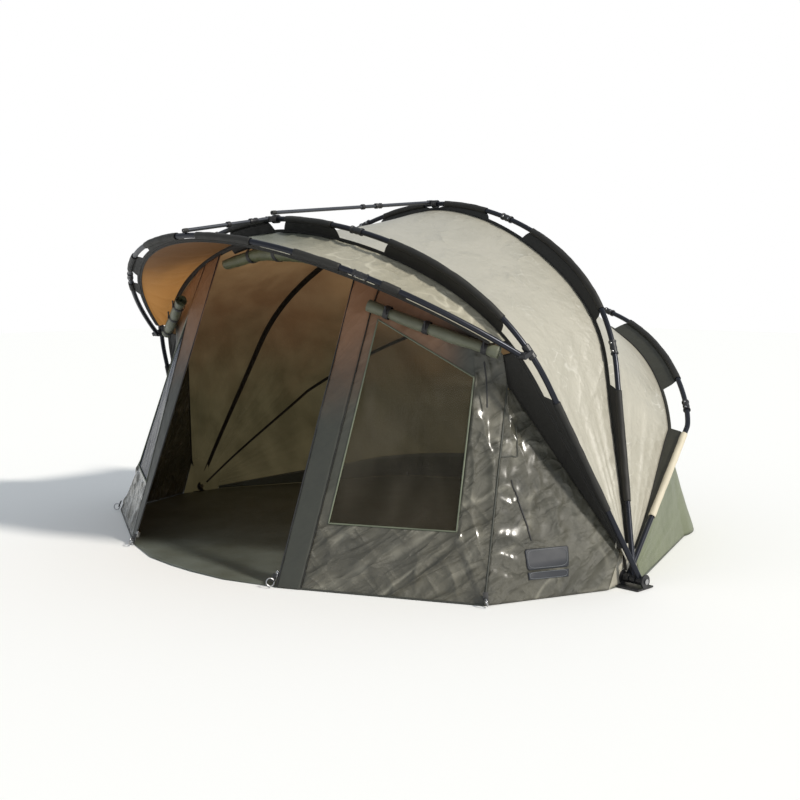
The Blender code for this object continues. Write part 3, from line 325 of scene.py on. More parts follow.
def makeHoodOuter():
    # Grey-green on top, and painted sunlight on the right side, paler and yellowish, with painted crease
    # highlights that are strongest there.
    finish = Finish("hoodOuter")
    where = finish.place()
    patches = finish.cloud(where, 3.5, 4.0, 0.6)
    soil = finish.cloud(where, 22.0)
    right = finish.rise(finish.axis(where, 0) + (patches - 0.5) * 0.2, 0.05, 0.55)
    # Painted sunlight: the right side is paler and yellowish.
    tone = finish.blend(right, colour(0.170, 0.178, 0.142), colour(0.400, 0.375, 0.290))
    # Pale hairlines on the creases are painted highlights, strongest on the sunlit side.
    paintedCreaseGlints = finish.hairlines(finish.drawnOut(where, (0.9, 0.3, 0.2), (1.0, 1.0, 4.5)), 11.0, 0.03, 0.2)
    paintedCreaseGlints = paintedCreaseGlints * finish.ramp(patches, 0.42, 0.60) * (right * 0.38 + 0.04)
    sharp = finish.creased(finish.drawnOut(finish.cut(), (0.0, 0.0, 0.2), (1.0, 2.4, 1.0)), 9.0, 2.0)
    creases = finish.cloud(where, 18.0, 5.0, 0.62, 1.6) * 0.6 + sharp * (0.12 + right * 0.30)
    return finish.paint(
        baseColor=finish.blend(paintedCreaseGlints, tone, colour(0.80, 0.76, 0.62)),
        roughness=0.36 + (soil - 0.5) * 0.16,
        normal=finish.bump(creases + finish.weave() * 0.04, 0.9, 0.016),
    )


def makeWallCloth():
    # The front wall is one proofed cloth: glossy and crinkled low down, duller where it is doubled.
    # Under the hood a warm brown is painted in for the sun that shines through the cloth above it, and pale
    # crease lines are painted highlights.
    finish = Finish("wallCloth")
    where = finish.place()
    shine = finish.add("ShaderNodeAttribute", {"attribute_name": "shine"}, out="Fac")
    patches = finish.cloud(where, 4.0, 4.0, 0.6)
    soil = finish.cloud(where, 30.0, 4.0)
    glossy = finish.ramp(patches, 0.35, 0.65)
    glossy = finish.blend(glossy, colour(0.098, 0.091, 0.064), colour(0.048, 0.045, 0.031))
    dull = finish.blend(soil, colour(0.050, 0.052, 0.041), colour(0.038, 0.040, 0.033))
    # Painted light: a warm brown under the hood, away from the sides.
    under = finish.rise(finish.axis(where, 2) + (patches - 0.5) * 0.25, 0.62, 1.08)
    inward = 1.0 - finish.rise(abs(finish.axis(where, 0)), 0.82, 1.0)
    paintedHoodGlow = finish.blend(under * inward, dull, colour(0.260, 0.135, 0.070))
    slanted = finish.creased(finish.drawnOut(where, (0.0, 0.90, 0.78), (1.0, 1.0, 6.5)), 8.5)
    narrow = finish.creased(finish.drawnOut(where, (0.0, 1.02, 0.70), (1.0, 1.0, 5.0)), 21.0)
    crossed = finish.creased(finish.drawnOut(where, (0.0, 2.305, 0.163), (1.0, 1.0, 3.4)), 13.0)
    fine = finish.cloud(where, 45.0, 4.0, 0.6, 1.4)
    # Pale hairlines on the creases are painted highlights.
    paintedWallGlints = finish.hairlines(finish.drawnOut(where, (0.0, 0.84, 0.78), (1.0, 1.0, 7.0)), 9.0, 0.05, 0.1)
    paintedWallGlints = paintedWallGlints * finish.ramp(finish.cloud(where, 6.0, 2.0), 0.42, 0.62)
    glossy = finish.blend(paintedWallGlints * 0.62, glossy, colour(0.300, 0.285, 0.225))
    relief = slanted * 0.60 + narrow * 0.24 + crossed * 0.12 + fine * 0.07 + finish.weave() * 0.015
    return finish.paint(
        baseColor=finish.blend(shine, paintedHoodGlow, glossy),
        roughness=0.50 - shine * 0.14 + (soil - 0.5) * 0.08,
        coatWeight=shine * 0.75,
        coatRoughness=0.17,
        normal=finish.bump(relief * (shine * 0.9 + 0.1), 1.0, 0.034),
    )


def makeFilm(name, shade, alpha, gloss):
    finish = Finish(name)
    drawn = finish.drawnOut(finish.place(), (0.0, 0.0, 0.0), (1.0, 1.0, 2.8))
    streaks = finish.cloud(drawn, 7.0, 2.0, 0.45, 0.8)
    haze = finish.ramp(streaks, 0.42, 0.72)
    return finish.paint(
        baseColor=finish.blend(haze, shade, times(shade, 1.9)),
        roughness=0.22 + haze * 0.14,
        specularIorLevel=gloss,
        alpha=alpha + haze * 0.08,
        normal=finish.bump(streaks, 0.35, 0.02),
    )


def makeMetal(name, shade, metallic, rough):
    finish = Finish(name)
    where = finish.place()
    scratches = finish.cloud(where, 90.0, 5.0, 0.7, 0.4)
    dust = finish.cloud(where, 7.0, 4.0, 0.6)
    worn = finish.ramp(scratches, 0.62, 0.78)
    return finish.paint(
        baseColor=finish.blend(worn * 0.5, shade, times(shade, 2.4, 0.01)),
        metallic=metallic,
        roughness=rough + (dust - 0.5) * 0.20 + worn * 0.10,
        normal=finish.bump(scratches, 0.12, 0.0006),
    )


def makeMoulded(name, shade, rough):
    finish = Finish(name)
    where = finish.place()
    scuff = finish.cloud(where, 45.0, 4.0, 0.6)
    return finish.paint(
        baseColor=finish.blend(finish.ramp(scuff, 0.60, 0.85) * 0.6, shade, times(shade, 2.2, 0.008)),
        roughness=rough + (scuff - 0.5) * 0.18,
        normal=finish.bump(finish.cloud(where, 900.0, 3.0, 0.6) + scuff * 0.5, 0.25, 0.0004),
    )


finishes = {}


def makeFinishes():
    for name, look in clothLooks.items():
        finishes[name] = makeCloth(name, *look)
    for name, look in hardLooks.items():
        finishes[name] = makeMetal(name, *look)
    finishes["canopyInner"] = makeInnerCloth()
    finishes["hoodInner"] = makeHoodInner()
    finishes["hoodOuter"] = makeHoodOuter()
    finishes["wallCloth"] = makeWallCloth()
    finishes["film"] = makeFilm("film", colour(0.046, 0.041, 0.031), 0.20, 0.16)
    # The left window's film is a near-opaque dark navy copy: a painted sky reflection.
    finishes["filmPaintedSky"] = makeFilm("filmPaintedSky", colour(0.012, 0.016, 0.032), 0.90, 0.03)
    finishes["moulded"] = makeMoulded("moulded", colour(0.014, 0.014, 0.016), 0.42)
    finishes["rubber"] = makeMoulded("rubber", colour(0.020, 0.020, 0.019), 0.70)
    print("finishes made")


# Rib lines, as in the frame: each rib lies in a plane that leans about the pivots
gap = 0.0003
poleRadius = 0.011
hub = Vector(jointPlace["rear_rib_fold"])
ribs = {
    "rear": {
        "lean": 40.1, "hubX": 1.42, "knee": (1.283, 0.800), "kneePull": 0.070, "crownPull": 0.836,
        "crownR": 1.600, "depths": (0.024, 0.090, 0.084, 0.082), "collar": 0.395,
    },
    "main": {
        "lean": 74.8, "hubX": 1.45, "knee": (1.204, 0.800), "kneePull": 0.569, "crownPull": 0.346,
        "crownR": 1.549, "depths": (0.024, 0.052, 0.066, 0.032), "collar": 0.400,
    },
    "front": {
        "lean": 112.1, "hubX": 1.48, "knee": (1.269, 0.800), "kneePull": 0.683, "crownPull": 0.100,
        "crownR": 1.501, "depths": (0.024, 0.064, 0.072, 0.060), "collar": 0.412,
    },
}
# The ribs' joints, seams and web fins are at these shares of the line from the pivot to the crown.
hoop = {"start": 0.060, "fins": ((0.125, 0.325), (0.475, 0.725), (0.850, 0.975)), "knuckle": 0.795}
shoulderShare = 0.640
peak = {
    "lean": 144.5, "pull": 0.266, "pullAngle": 28.0, "crownPull": 0.697, "rise": 0.777, "clampInset": 0.0104,
    "depths": (0.050, 0.034), "marks": (0.475, 1.0), "start": 0.080, "knuckle": 0.440,
    "fins": ((0.330, 0.390), (0.490, 0.630), (0.750, 0.960)),
}
allRibs = {**ribs, "peak": peak}
lineSteps = 600


def bezier(points, t):
    t = np.asarray(t, float)[:, None]
    a, b, c, d = [np.asarray(p, float)[None, :] for p in points]
    return a * (1 - t) ** 3 + 3 * b * t * (1 - t) ** 2 + 3 * c * t**2 * (1 - t) + d * t**3


def layLine(rib, points, origin):
    lengths = np.concatenate([[0.0], np.cumsum(np.linalg.norm(np.diff(points, axis=0), axis=1))])
    angle = math.radians(rib["lean"])
    rib["points"] = points
    rib["lengths"] = lengths / lengths[-1]
    rib["length"] = lengths[-1]
    rib["tangents"] = np.gradient(points, lengths, axis=0)
    rib["across"] = np.array([0.0, math.cos(angle), math.sin(angle)])
    rib["normal"] = np.array([0.0, -math.sin(angle), math.cos(angle)])
    rib["origin"] = np.array(origin)


def makeLines():
    steps = np.linspace(0.0, 1.0, lineSteps)
    for rib in ribs.values():
        rib.update(hoop, marks=(hoop["start"], rib["collar"], shoulderShare, 1.0))
        foot = np.array([rib["hubX"], 0.0])
        knee = np.array(rib["knee"])
        leg = (knee - foot) / np.linalg.norm(knee - foot)
        arch = [knee, knee + leg * rib["kneePull"], (rib["crownPull"], rib["crownR"]), (0.0, rib["crownR"])]
        straight = foot + (knee - foot) * np.linspace(0.0, 1.0, lineSteps // 4)[:-1, None]
        layLine(rib, np.vstack([straight, bezier(arch, steps)]), hub)
    clampX = onLine(ribs["front"], ribs["front"]["collar"])[0, 0]
    start = np.array([clampX - peak["clampInset"], 0.0])
    turn = math.radians(peak["pullAngle"])
    pull = np.array([-math.sin(turn), math.cos(turn)]) * peak["pull"]
    arch = [start, start + pull, (peak["crownPull"], peak["rise"]), (0.0, peak["rise"])]
    layLine(peak, bezier(arch, steps), Vector(jointPlace["peak_rib_fold"]))


def onLine(rib, shares, depth=0.0):
    # Points in the rib's own plane, on its line or deeper inside it.
    shares = np.atleast_1d(np.asarray(shares, float))
    flat, slope = [
        np.stack([np.interp(shares, rib["lengths"], rib[key][:, k]) for k in (0, 1)], axis=1)
        for key in ("points", "tangents")
    ]
    inward = slope[:, ::-1] * (-1.0, 1.0) / np.hypot(*slope.T)[:, None]
    return flat + inward * np.broadcast_to(depth, shares.shape)[:, None]


def inPlane(rib, flat, side=1, offset=0.0):
    flat = np.atleast_2d(flat)
    offset = np.broadcast_to(offset, (len(flat),))[:, None]
    spot = rib["origin"] + flat[:, 1:2] * rib["across"] + offset * rib["normal"]
    return spot + flat[:, :1] * np.array([side, 0.0, 0.0])


def smooth(value, low, high):
    t = np.clip((np.asarray(value, float) - low) / (high - low), 0.0, 1.0)
    return t * t * (3.0 - 2.0 * t)


def seamDepth(rib, shares):
    # The seam goes from each of the rib's depths to the next between its marks.
    depths, marks = np.array(rib["depths"]), np.array(rib["marks"])
    k = np.clip(np.searchsorted(marks, shares) - 1, 0, len(depths) - 2)
    return depths[k] + (depths[k + 1] - depths[k]) * smooth(shares, marks[k], marks[k + 1])


def seamLine(rib, shares, side=1, offset=0.0, deeper=0.0):
    shares = np.atleast_1d(np.asarray(shares, float))
    return inPlane(rib, onLine(rib, shares, seamDepth(rib, shares) + deeper), side, offset)


# Surfaces from grids of points
def grain(u, v, seed):
    flatU, flatV = np.broadcast_arrays(np.asarray(u, float), np.asarray(v, float))
    values = [noise.noise((a, b, seed)) for a, b in zip(flatU.ravel(), flatV.ravel())]
    return np.array(values).reshape(flatU.shape)


def ridges(u, v, seed, sharp=2.0):
    # Crests where the noise crosses zero, as creased cloth has.
    return np.clip(1.0 - 2.2 * np.abs(grain(u, v, seed)), 0.0, 1.0) ** sharp


def creases(u, v, seed, sharp=2.0):
    return ridges(u, v, seed, sharp) - 0.3


def normalsOf(grid):
    cross = np.cross(np.gradient(grid, axis=0), np.gradient(grid, axis=1))
    return cross / np.maximum(np.linalg.norm(cross, axis=2), 1e-12)[:, :, None]


def outwardSign(grid, centre):
    i, j = grid.shape[0] // 2, grid.shape[1] // 2
    return 1.0 if np.dot(normalsOf(grid)[i, j], grid[i, j] - np.array(centre)) > 0 else -1.0


def displaced(grid, heights, centre):
    return grid + normalsOf(grid) * (heights * outwardSign(grid, centre))[:, :, None]


def cutSizes(grid):
    # Distances along the cloth from its first row and column, for the UV map.
    u, v = np.zeros(grid.shape[:2]), np.zeros(grid.shape[:2])
    u[1:] = np.cumsum(np.linalg.norm(np.diff(grid, axis=0), axis=2), axis=0)
    v[:, 1:] = np.cumsum(np.linalg.norm(np.diff(grid, axis=1), axis=2), axis=1)
    return u, v


def mirrored(points, side):
    return points * np.array([side, 1.0, 1.0])


def bothSides(half):
    # The right half's rows up to the middle, then the left half's rows down again.
    return np.concatenate([half(1), half(-1)[::-1][1:]], axis=0)


def through(knots, count):
    # Points on straight lines between the knots.
    knots = np.array(knots)
    steps = np.linspace(0.0, len(knots) - 1.0, count)
    return np.stack([np.interp(steps, range(len(knots)), knots[:, k]) for k in range(3)], axis=1)


def meshOf(name, grid, flip=False, holes=None, closed=False):
    rows, columns = grid.shape[:2]
    u, v = cutSizes(grid)
    faces = []
    for i in range(rows - 1):
        for j in range(columns if closed else columns - 1):
            if holes is None or not holes[i, j]:
                k = (j + 1) % columns
                ring = [i * columns + j, (i + 1) * columns + j, (i + 1) * columns + k, i * columns + k]
                faces.append(ring[::-1] if flip else ring)
    mesh = bpy.data.meshes.new(name)
    mesh.from_pydata(grid.reshape(-1, 3).tolist(), [], faces)
    corners = np.array([loop.vertex_index for loop in mesh.loops])
    pairs = np.stack([v.ravel(), u.ravel()], axis=1)
    mesh.uv_layers.new(name="cut").data.foreach_set("uv", pairs[corners].ravel())
    mesh.validate()
    return mesh


def addPiece(name, mesh, *looks):
    piece = bpy.data.objects.new(name, mesh)
    scene.collection.objects.link(piece)
    for look in looks:
        mesh.materials.append(finishes[look])
    return piece


def only(piece):
    for thing in bpy.context.selected_objects:
        thing.select_set(False)
    bpy.context.view_layer.objects.active = piece
    piece.select_set(True)


def finishModifiers(piece):
    only(piece)
    for step in list(piece.modifiers):
        bpy.ops.object.modifier_apply(modifier=step.name)


def thicken(piece, thickness, innerLook=0):
    shell = piece.modifiers.new("thickness", "SOLIDIFY")
    shell.thickness = thickness
    shell.offset = 0.0
    shell.material_offset = innerLook
    finishModifiers(piece)


def rounded(piece, width, segments):
    edge = piece.modifiers.new("edge", "BEVEL")
    edge.width = width
    edge.segments = segments
    return edge


def tidyLoose(piece):
    only(piece)
    bpy.ops.object.mode_set(mode="EDIT")
    bpy.ops.mesh.select_all(action="SELECT")
    bpy.ops.mesh.delete_loose()
    bpy.ops.object.mode_set(mode="OBJECT")


def turnOutward(mesh):
    work = bmesh.new()
    work.from_mesh(mesh)
    bmesh.ops.recalc_face_normals(work, faces=work.faces)
    if work.calc_volume(signed=True) < 0.0:
        bmesh.ops.reverse_faces(work, faces=work.faces)
    work.to_mesh(mesh)
    work.free()


def smoothByAngle(piece, degrees):
    only(piece)
    bpy.ops.object.shade_smooth_by_angle(angle=math.radians(degrees))


def settle(piece, body=None, node=None):
    if body:
        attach(piece, body)
    if node:
        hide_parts(node)
    return piece


def foldWithFront(piece, body="front_rib", node=None):
    # Pieces on the front wall ride on the front rib, or on the body given, each with its own mesh.
    settle(piece, body, node)
    if body != "base":
        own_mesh(piece)


def clothPiece(
    name, grid, looks, centre, thickness=0.0014, heights=None, lowest=None, holes=None, shine=None
):
    # A sheet of cloth: pushed out along its normals by the heights, and kept above the lowest height.
    if heights is not None:
        grid = displaced(grid, heights, centre)
    if lowest is not None:
        grid[..., 2] = np.maximum(grid[..., 2], lowest)
    flip = outwardSign(grid, centre) < 0
    piece = addPiece(name, meshOf(name, grid, flip, holes), *looks)
    if shine is not None:
        layer = piece.data.attributes.new("shine", "FLOAT", "POINT")
        layer.data.foreach_set("value", shine.ravel().astype(np.float32))
    if holes is not None:
        tidyLoose(piece)
    thicken(piece, thickness, 1 if len(looks) > 1 else 0)
    piece.data.shade_smooth()
    return piece


def declareCloth(grid, holes=None):
    cells = np.linalg.norm(np.cross(grid[1:, :-1] - grid[:-1, :-1], grid[:-1, 1:] - grid[:-1, :-1]), axis=2)
    area = float((cells if holes is None else cells[~holes]).sum())
    u, v = cutSizes(grid)


def frameAlong(points):
    # Directions along a line with two square ones that turn as little as they can.
    ahead = np.gradient(points, axis=0)
    ahead /= np.linalg.norm(ahead, axis=1)[:, None]
    first = np.cross(ahead[0], (0.0, 0.0, 1.0))
    if np.linalg.norm(first) < 0.2:
        first = np.cross(ahead[0], (0.0, 1.0, 0.0))
    sides = [first / np.linalg.norm(first)]
    for direction in ahead[1:]:
        turned = sides[-1] - direction * np.dot(sides[-1], direction)
        sides.append(turned / np.linalg.norm(turned))
    sides = np.array(sides)
    return ahead, sides, np.cross(ahead, sides)


def ringsAlong(points, angles, radii):
    # A grid of points round the line, at the angles and the distances given.
    _, first, second = frameAlong(points)
    across, up = np.cos(angles)[None, :, None], np.sin(angles)[None, :, None]
    ring = across * first[:, None, :] + up * second[:, None, :]
    return points[:, None, :] + ring * radii[..., None]


def tubeThrough(name, points, radius, look, resolution=6, cyclic=False):
    curve = bpy.data.curves.new(name, "CURVE")
    curve.dimensions = "3D"
    curve.bevel_depth = radius
    curve.bevel_resolution = resolution
    curve.use_fill_caps = not cyclic
    spline = curve.splines.new("POLY")
    spline.points.add(len(points) - 1)
    spline.use_cyclic_u = cyclic
    for knot, point in zip(spline.points, points):
        knot.co = (*point, 1.0)
    piece = bpy.data.objects.new(name, curve)
    scene.collection.objects.link(piece)
    only(piece)
    bpy.ops.object.convert(target="MESH")
    piece = bpy.context.object
    piece.data.materials.clear()
    piece.data.materials.append(finishes[look])
    smoothByAngle(piece, 50.0)
    return piece


def facing(direction):
    return Vector(direction).to_track_quat("Z", "Y").to_matrix().to_4x4()


def turned(name, profile, centre, direction, look, steps=24, closed=True):
    # A profile of (radius, height) spun about a line.
    mesh = bpy.data.meshes.new(name)
    count = len(profile)
    edges = [(k, (k + 1) % count) for k in range(count if closed else count - 1)]
    mesh.from_pydata([(r, 0.0, h) for r, h in profile], edges, [])
    piece = addPiece(name, mesh, look)
    spin = piece.modifiers.new("spin", "SCREW")
    spin.steps = steps
    spin.render_steps = steps
    spin.use_merge_vertices = True
    spin.merge_threshold = 0.00001
    finishModifiers(piece)
    piece.data.transform(Matrix.Translation(Vector(centre)) @ facing(direction))
    turnOutward(piece.data)
    smoothByAngle(piece, 35.0)
    return piece


def boxPiece(name, size, place, turn, look, rounding, segments):
    bpy.ops.mesh.primitive_cube_add(size=1.0)
    piece = bpy.context.object
    piece.name = name
    piece.data.transform(Matrix.Translation(place) @ turn @ Matrix.Diagonal((*size, 1.0)))
    piece.data.materials.append(finishes[look])
    rounded(piece, rounding, segments)
    finishModifiers(piece)
    smoothByAngle(piece, 40.0)
    return piece


# Canopies
tentCentre = (0.0, 0.2, 0.3)
canopy = {
    "hem": 0.036, "alongCount": 130, "acrossCount": 34, "sag": 0.030, "seamStand": 0.0012,
    "broad": 0.006, "pucker": 0.0055, "radial": 0.013, "fine": 0.0022,
}


def ribEdge(rib, shares, side, offset):
    # A seam's points, and the directions inward from them.
    points = seamLine(rib, shares, side, offset)
    return points, (seamLine(rib, shares, side, offset, 0.01) - points) / 0.01


def slungGrid(first, last, sag, count):
    # Cloth between two edges of (points, inward directions), which sags inward.
    part = np.linspace(0.0, 1.0, count)[None, :, None]
    a, b = first[0], last[0]
    width = np.linalg.norm(b - a, axis=1)[:, None, None]
    inward = first[1] + last[1]
    inward /= np.linalg.norm(inward, axis=1)[:, None]
    return a[:, None] * (1 - part) + b[:, None] * part + inward[:, None] * 4 * part * (1 - part) * sag * width


def canopyHeights(grid, seed):
    # Puckers along the seams, folds that run to the pivots, broad swells and fine creases.
    u, v = cutSizes(grid)
    width = v[:, -1:]
    part = v / width
    arch = np.sin(math.pi * np.clip(part, 0.0, 1.0))
    edge = np.minimum(part, 1.0 - part) * width
    heights = canopy["broad"] * grain(u * 1.6, part * 1.5, seed)
    pin = np.exp(-edge / 0.035)
    free = 1.0 - np.exp(-edge / 0.008)
    heights += canopy["pucker"] * pin * grain(u * 26.0, part * 2.0, seed + 1.0) * free
    lowDown = smooth(np.abs(np.linspace(-1.0, 1.0, len(grid))), 0.45, 0.95)[:, None]
    strands = creases(part * 7.0, u * 0.7, seed + 2.0, 2.2)
    strands += 0.45 * creases(part * 17.0, u * 1.3, seed + 6.0, 2.2)
    heights += canopy["radial"] * lowDown * strands * arch**0.6 * np.clip(width / 0.35, 0.0, 1.0)
    pulls = ridges(u * 3.5 + part * 2.0, part * 1.2, seed + 3.0, 3.0)
    patch = smooth(grain(u * 1.1, part * 1.3, seed + 4.0), 0.0, 0.35)
    heights += canopy["fine"] * 3.0 * pulls * patch * arch
    heights += canopy["fine"] * grain(u * 18.0, v * 14.0, seed + 5.0) * arch**0.5 * 0.5
    return heights * arch**0.25


def makeCanopy(name, node, backName, frontName, seed):
    shares = np.linspace(canopy["hem"], 1.0, canopy["alongCount"])

    def half(side):
        first = ribEdge(ribs[backName], shares, side, canopy["seamStand"])
        last = ribEdge(ribs[frontName], shares, side, -canopy["seamStand"])
        return slungGrid(first, last, canopy["sag"], canopy["acrossCount"])

    plain = bothSides(half)
    looks = ("canopyOuter", "canopyInner")
    piece = clothPiece(name, plain, looks, tentCentre, heights=canopyHeights(plain, seed))
    settle(piece, node=node)
    declareCloth(plain)
    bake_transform(piece)
    print(name, "made")


def makeCanopies():
    makeCanopy("backCanopyCloth", "back_canopy", "rear", "main", 11.0)
    makeCanopy("midCanopyCloth", "mid_canopy", "main", "front", 23.0)


hood = {
    "start": 0.450, "count": 130, "across": 44, "centre": (0.0, -0.5, 0.8),
    "broad": 0.005, "crease": 0.0045, "creaseReach": 0.10, "pucker": 0.0025, "fine": 0.0012,
    "bendTilt": 0.25, "bendReach": 0.440,
}


def makeHood():
    front = ribs["front"]
    part = np.linspace(0.0, 1.0, hood["count"])

    def half(side):
        shares, peakShares = [start + (1.0 - start) * part for start in (hood["start"], peak["start"])]
        first = ribEdge(front, shares, side, canopy["seamStand"])
        last = ribEdge(peak, peakShares, side, -canopy["seamStand"])
        return slungGrid(first, last, canopy["sag"], hood["across"])

    plain = bothSides(half)
    u, v = cutSizes(plain)
    width = v[:, -1:]
    across = v / width
    edge = np.minimum(across, 1.0 - across) * width
    nearFront = np.exp(-across * width / hood["creaseReach"])
    heights = hood["broad"] * grain(u * 2.0, across * 1.5, 5.0)
    heights += hood["crease"] * nearFront * creases(u * 9.0, across * 0.8, 6.0, 2.4) * 2.2
    heights += hood["pucker"] * np.exp(-edge / 0.03) * grain(u * 24.0, across * 2.0, 7.0)
    heights += hood["fine"] * grain(u * 16.0, v * 16.0, 8.0)
    heights *= np.clip(edge / 0.02, 0.0, 1.0)
    piece = clothPiece("hoodCloth", plain, ("hoodOuter", "hoodInner"), hood["centre"], heights=heights)
    settle(piece, node="hood")
    declareCloth(plain)
    # A line forwards from the front rib's crown, tilted so that the hood's sides keep to the hood rib, is
    # worked out here but not used.
    crown = ribEdge(front, np.array([1.0]), 1, canopy["seamStand"])[0][0]
    lean = (front["normal"] - hood["bendTilt"] * front["across"]) / (1.0 + hood["bendTilt"] ** 2)
    tuple(crown)
    tuple(crown + lean * hood["bendReach"])
    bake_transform(piece)
    print("hood made")


# The rear wall, from the rear rib's seam to a curve on the ground
rearWall = {
    "start": (1.400, 0.115), "corner": (1.090, 0.920), "middleY": 1.450, "sag": 0.015,
    "centre": (0.0, 0.4, 0.3), "lowest": 0.0008, "bandColumns": 7, "bandStand": 0.007, "bandLowest": 0.0055,
}


def rearGround(shares):
    low, knee = ribs["rear"]["start"], ribs["rear"]["collar"]
    start, corner = np.array(rearWall["start"]), np.array(rearWall["corner"])
    part = np.clip((shares - low) / (knee - low), 0.0, 1.0)[:, None]
    turn = np.clip((shares - knee) / (1.0 - knee), 0.0, 1.0) * math.pi / 2
    bend = [corner[0] * np.cos(turn), corner[1] + (rearWall["middleY"] - corner[1]) * np.sin(turn)]
    flat = np.where((shares <= knee)[:, None], start + (corner - start) * part, np.stack(bend, axis=1))
    return np.concatenate([flat, np.zeros((len(flat), 1))], axis=1)


def rearHalf(side):
    shares = np.linspace(ribs["rear"]["start"], 1.0, canopy["alongCount"])
    floor = mirrored(rearGround(shares), side)
    first = ribEdge(ribs["rear"], shares, side, -canopy["seamStand"])
    last = (floor, np.tile([0.0, -0.3, 0.0], (len(floor), 1)))
    return slungGrid(first, last, rearWall["sag"], canopy["acrossCount"])


def crumpleRear(piece):
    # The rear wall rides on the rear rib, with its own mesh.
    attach(piece, "rear_rib")
    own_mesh(piece)


def makeRearWall():
    plain = bothSides(rearHalf)
    u, v = cutSizes(plain)
    part = v / v[:, -1:]
    heights = canopyHeights(plain, 37.0)
    low, free = smooth(part, 0.55, 0.95), 1.0 - smooth(part, 0.97, 1.0)
    heights += 0.004 * low * grain(u * 7.0, part * 1.5, 39.0) * free
    looks, centre, lowest = ("rearCloth", "canopyInner"), rearWall["centre"], rearWall["lowest"]
    piece = clothPiece("rearWallCloth", plain, looks, centre, heights=heights, lowest=lowest)
    settle(piece, node="rear_wall")
    declareCloth(plain)
    crumpleRear(piece)
    print("rear wall made")


def makeFootShadeBand(side, word):
    # A dark band of the groundsheet's cloth inside the rear wall's foot, on one side of its middle: painted
    # shade along the wall's foot.
    grid = rearHalf(side)[:, -rearWall["bandColumns"] :]
    u, v = cutSizes(grid)
    waves = 0.002 * grain(u * 6.0, v * 5.0, 41.0 + side)
    grid = displaced(grid, waves - rearWall["bandStand"], rearWall["centre"])
    grid[..., 2] = np.maximum(grid[..., 2], rearWall["bandLowest"])
    piece = clothPiece(f"footBand_{word}", grid, ("groundCloth",), rearWall["centre"], 0.0012)
    settle(piece)
    declareCloth(grid)
    crumpleRear(piece)


# The cloth that closes the tent beside each pivot, below the canopies' hems
hubPatch = {
    "foot": ((1.409, -0.108, 0.001), (1.400, -0.045, 0.001), (1.396, 0.040, 0.001), (1.398, 0.112, 0.001)),
    "topShare": 0.075, "gussetR": 0.150, "along": 18, "up": 14,
}


def makeHubPatch(side, word):
    tops = [gussetEdge(np.array([hubPatch["gussetR"]]))[0]]
    for name in ("front", "main", "rear"):
        tops.append(seamLine(ribs[name], [hubPatch["topShare"]], 1, 0.0, 0.002)[0])
    rise = np.linspace(0.0, 1.0, hubPatch["up"])[None, :, None]
    for part, first, last in (("Front", 0, 3), ("Rear", 2, 4)):
        low, high = [through(knots[first:last], hubPatch["along"]) for knots in (hubPatch["foot"], tops)]
        grid = mirrored(low[:, None] * (1 - rise) + high[:, None] * rise, side)
        looks = ("canopyOuter", "canopyInner")
        piece = clothPiece(f"hubPatch{part}_{word}", grid, looks, (0.0, 0.0, 0.1), 0.0012)
        settle(piece)
        declareCloth(grid)
        if part == "Rear":
            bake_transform(piece)
        else:
            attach(piece, "main_rib")
            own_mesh(piece)


def makeSeamBand(name, halfWidth):
    # A dark brown band along a rib's seam, seen from inside, widening towards the crown.
    rib = ribs[name]
    shares = np.linspace(0.016, 1.0, 150)
    wide = halfWidth * (0.35 + 0.65 * shares)

    def half(side):
        places = [(a * wide, 0.006 + abs(a) * wide * 0.45) for a in (-1, -0.5, 0, 0.5, 1)]
        return np.stack([seamLine(rib, shares, side, *place) for place in places], axis=1)

    grid = bothSides(half)
    piece = clothPiece(f"seamBand_{name}", grid, ("bandBrown",), tentCentre, 0.0012)
    declareCloth(grid)
    settle(piece, f"{name}_rib")


def makeInnerCloths():
    makeSeamBand("main", 0.027)
    makeSeamBand("rear", 0.014)
    for side, word in sidesOfTent:
        makeFootShadeBand(side, word)
        makeHubPatch(side, word)
    print("inner cloths made")


# Webs between the poles and the seams, cut away where the pole shows
webs = {"lap": 0.004, "piping": 0.014, "round": 0.020, "pleat": 0.0018, "stations": 260, "columns": 9}
front = {
    "inset": 0.014, "panelTop": (1.067, 0.790), "shoulder": (1.085, 0.925),
    "doorDrop": 0.022, "headerShare": 0.830,
}


def finEdge(rib, shares):
    # How far from the pole the web starts: against it on the fins, at the piping in the gaps.
    near = poleRadius + gap
    far = np.maximum(seamDepth(rib, shares) - webs["piping"], near)
    value = far.copy()
    for low, high in rib["fins"]:
        inside = np.minimum(shares - low, high - shares) / (webs["round"] / rib["length"])
        step = 1.0 - np.sqrt(np.clip(1.0 + inside, 0.0, 1.0))
        value = np.minimum(value, near + (far - near) * step)
    return value


def gussetX(r):
    cornerX, cornerR = front["panelTop"]
    return cornerX + (ribs["front"]["hubX"] - cornerX) * (cornerR - r) / cornerR


def gussetEdge(r):
    flat = np.stack([gussetX(r), r], axis=-1).reshape(-1, 2)
    return inPlane(ribs["front"], flat).reshape(*np.shape(r), 3)


def gussetPoints(flat):
    # Below the shoulder the black gusset fills from the seam to the front wall's edge; its near-black colour
    # is partly the web cloth's own and partly painted shade.
    (cornerX, cornerR), (shoulderX, shoulderR) = front["panelTop"], front["shoulder"]
    x, r = flat.T
    middle = cornerX + (shoulderX - cornerX) * (r - cornerR) / (shoulderR - cornerR)
    edge = np.where(r < cornerR, gussetX(r), middle) - webs["lap"]
    return np.stack([np.where(r < shoulderR, np.minimum(edge, x), x), r], axis=1)


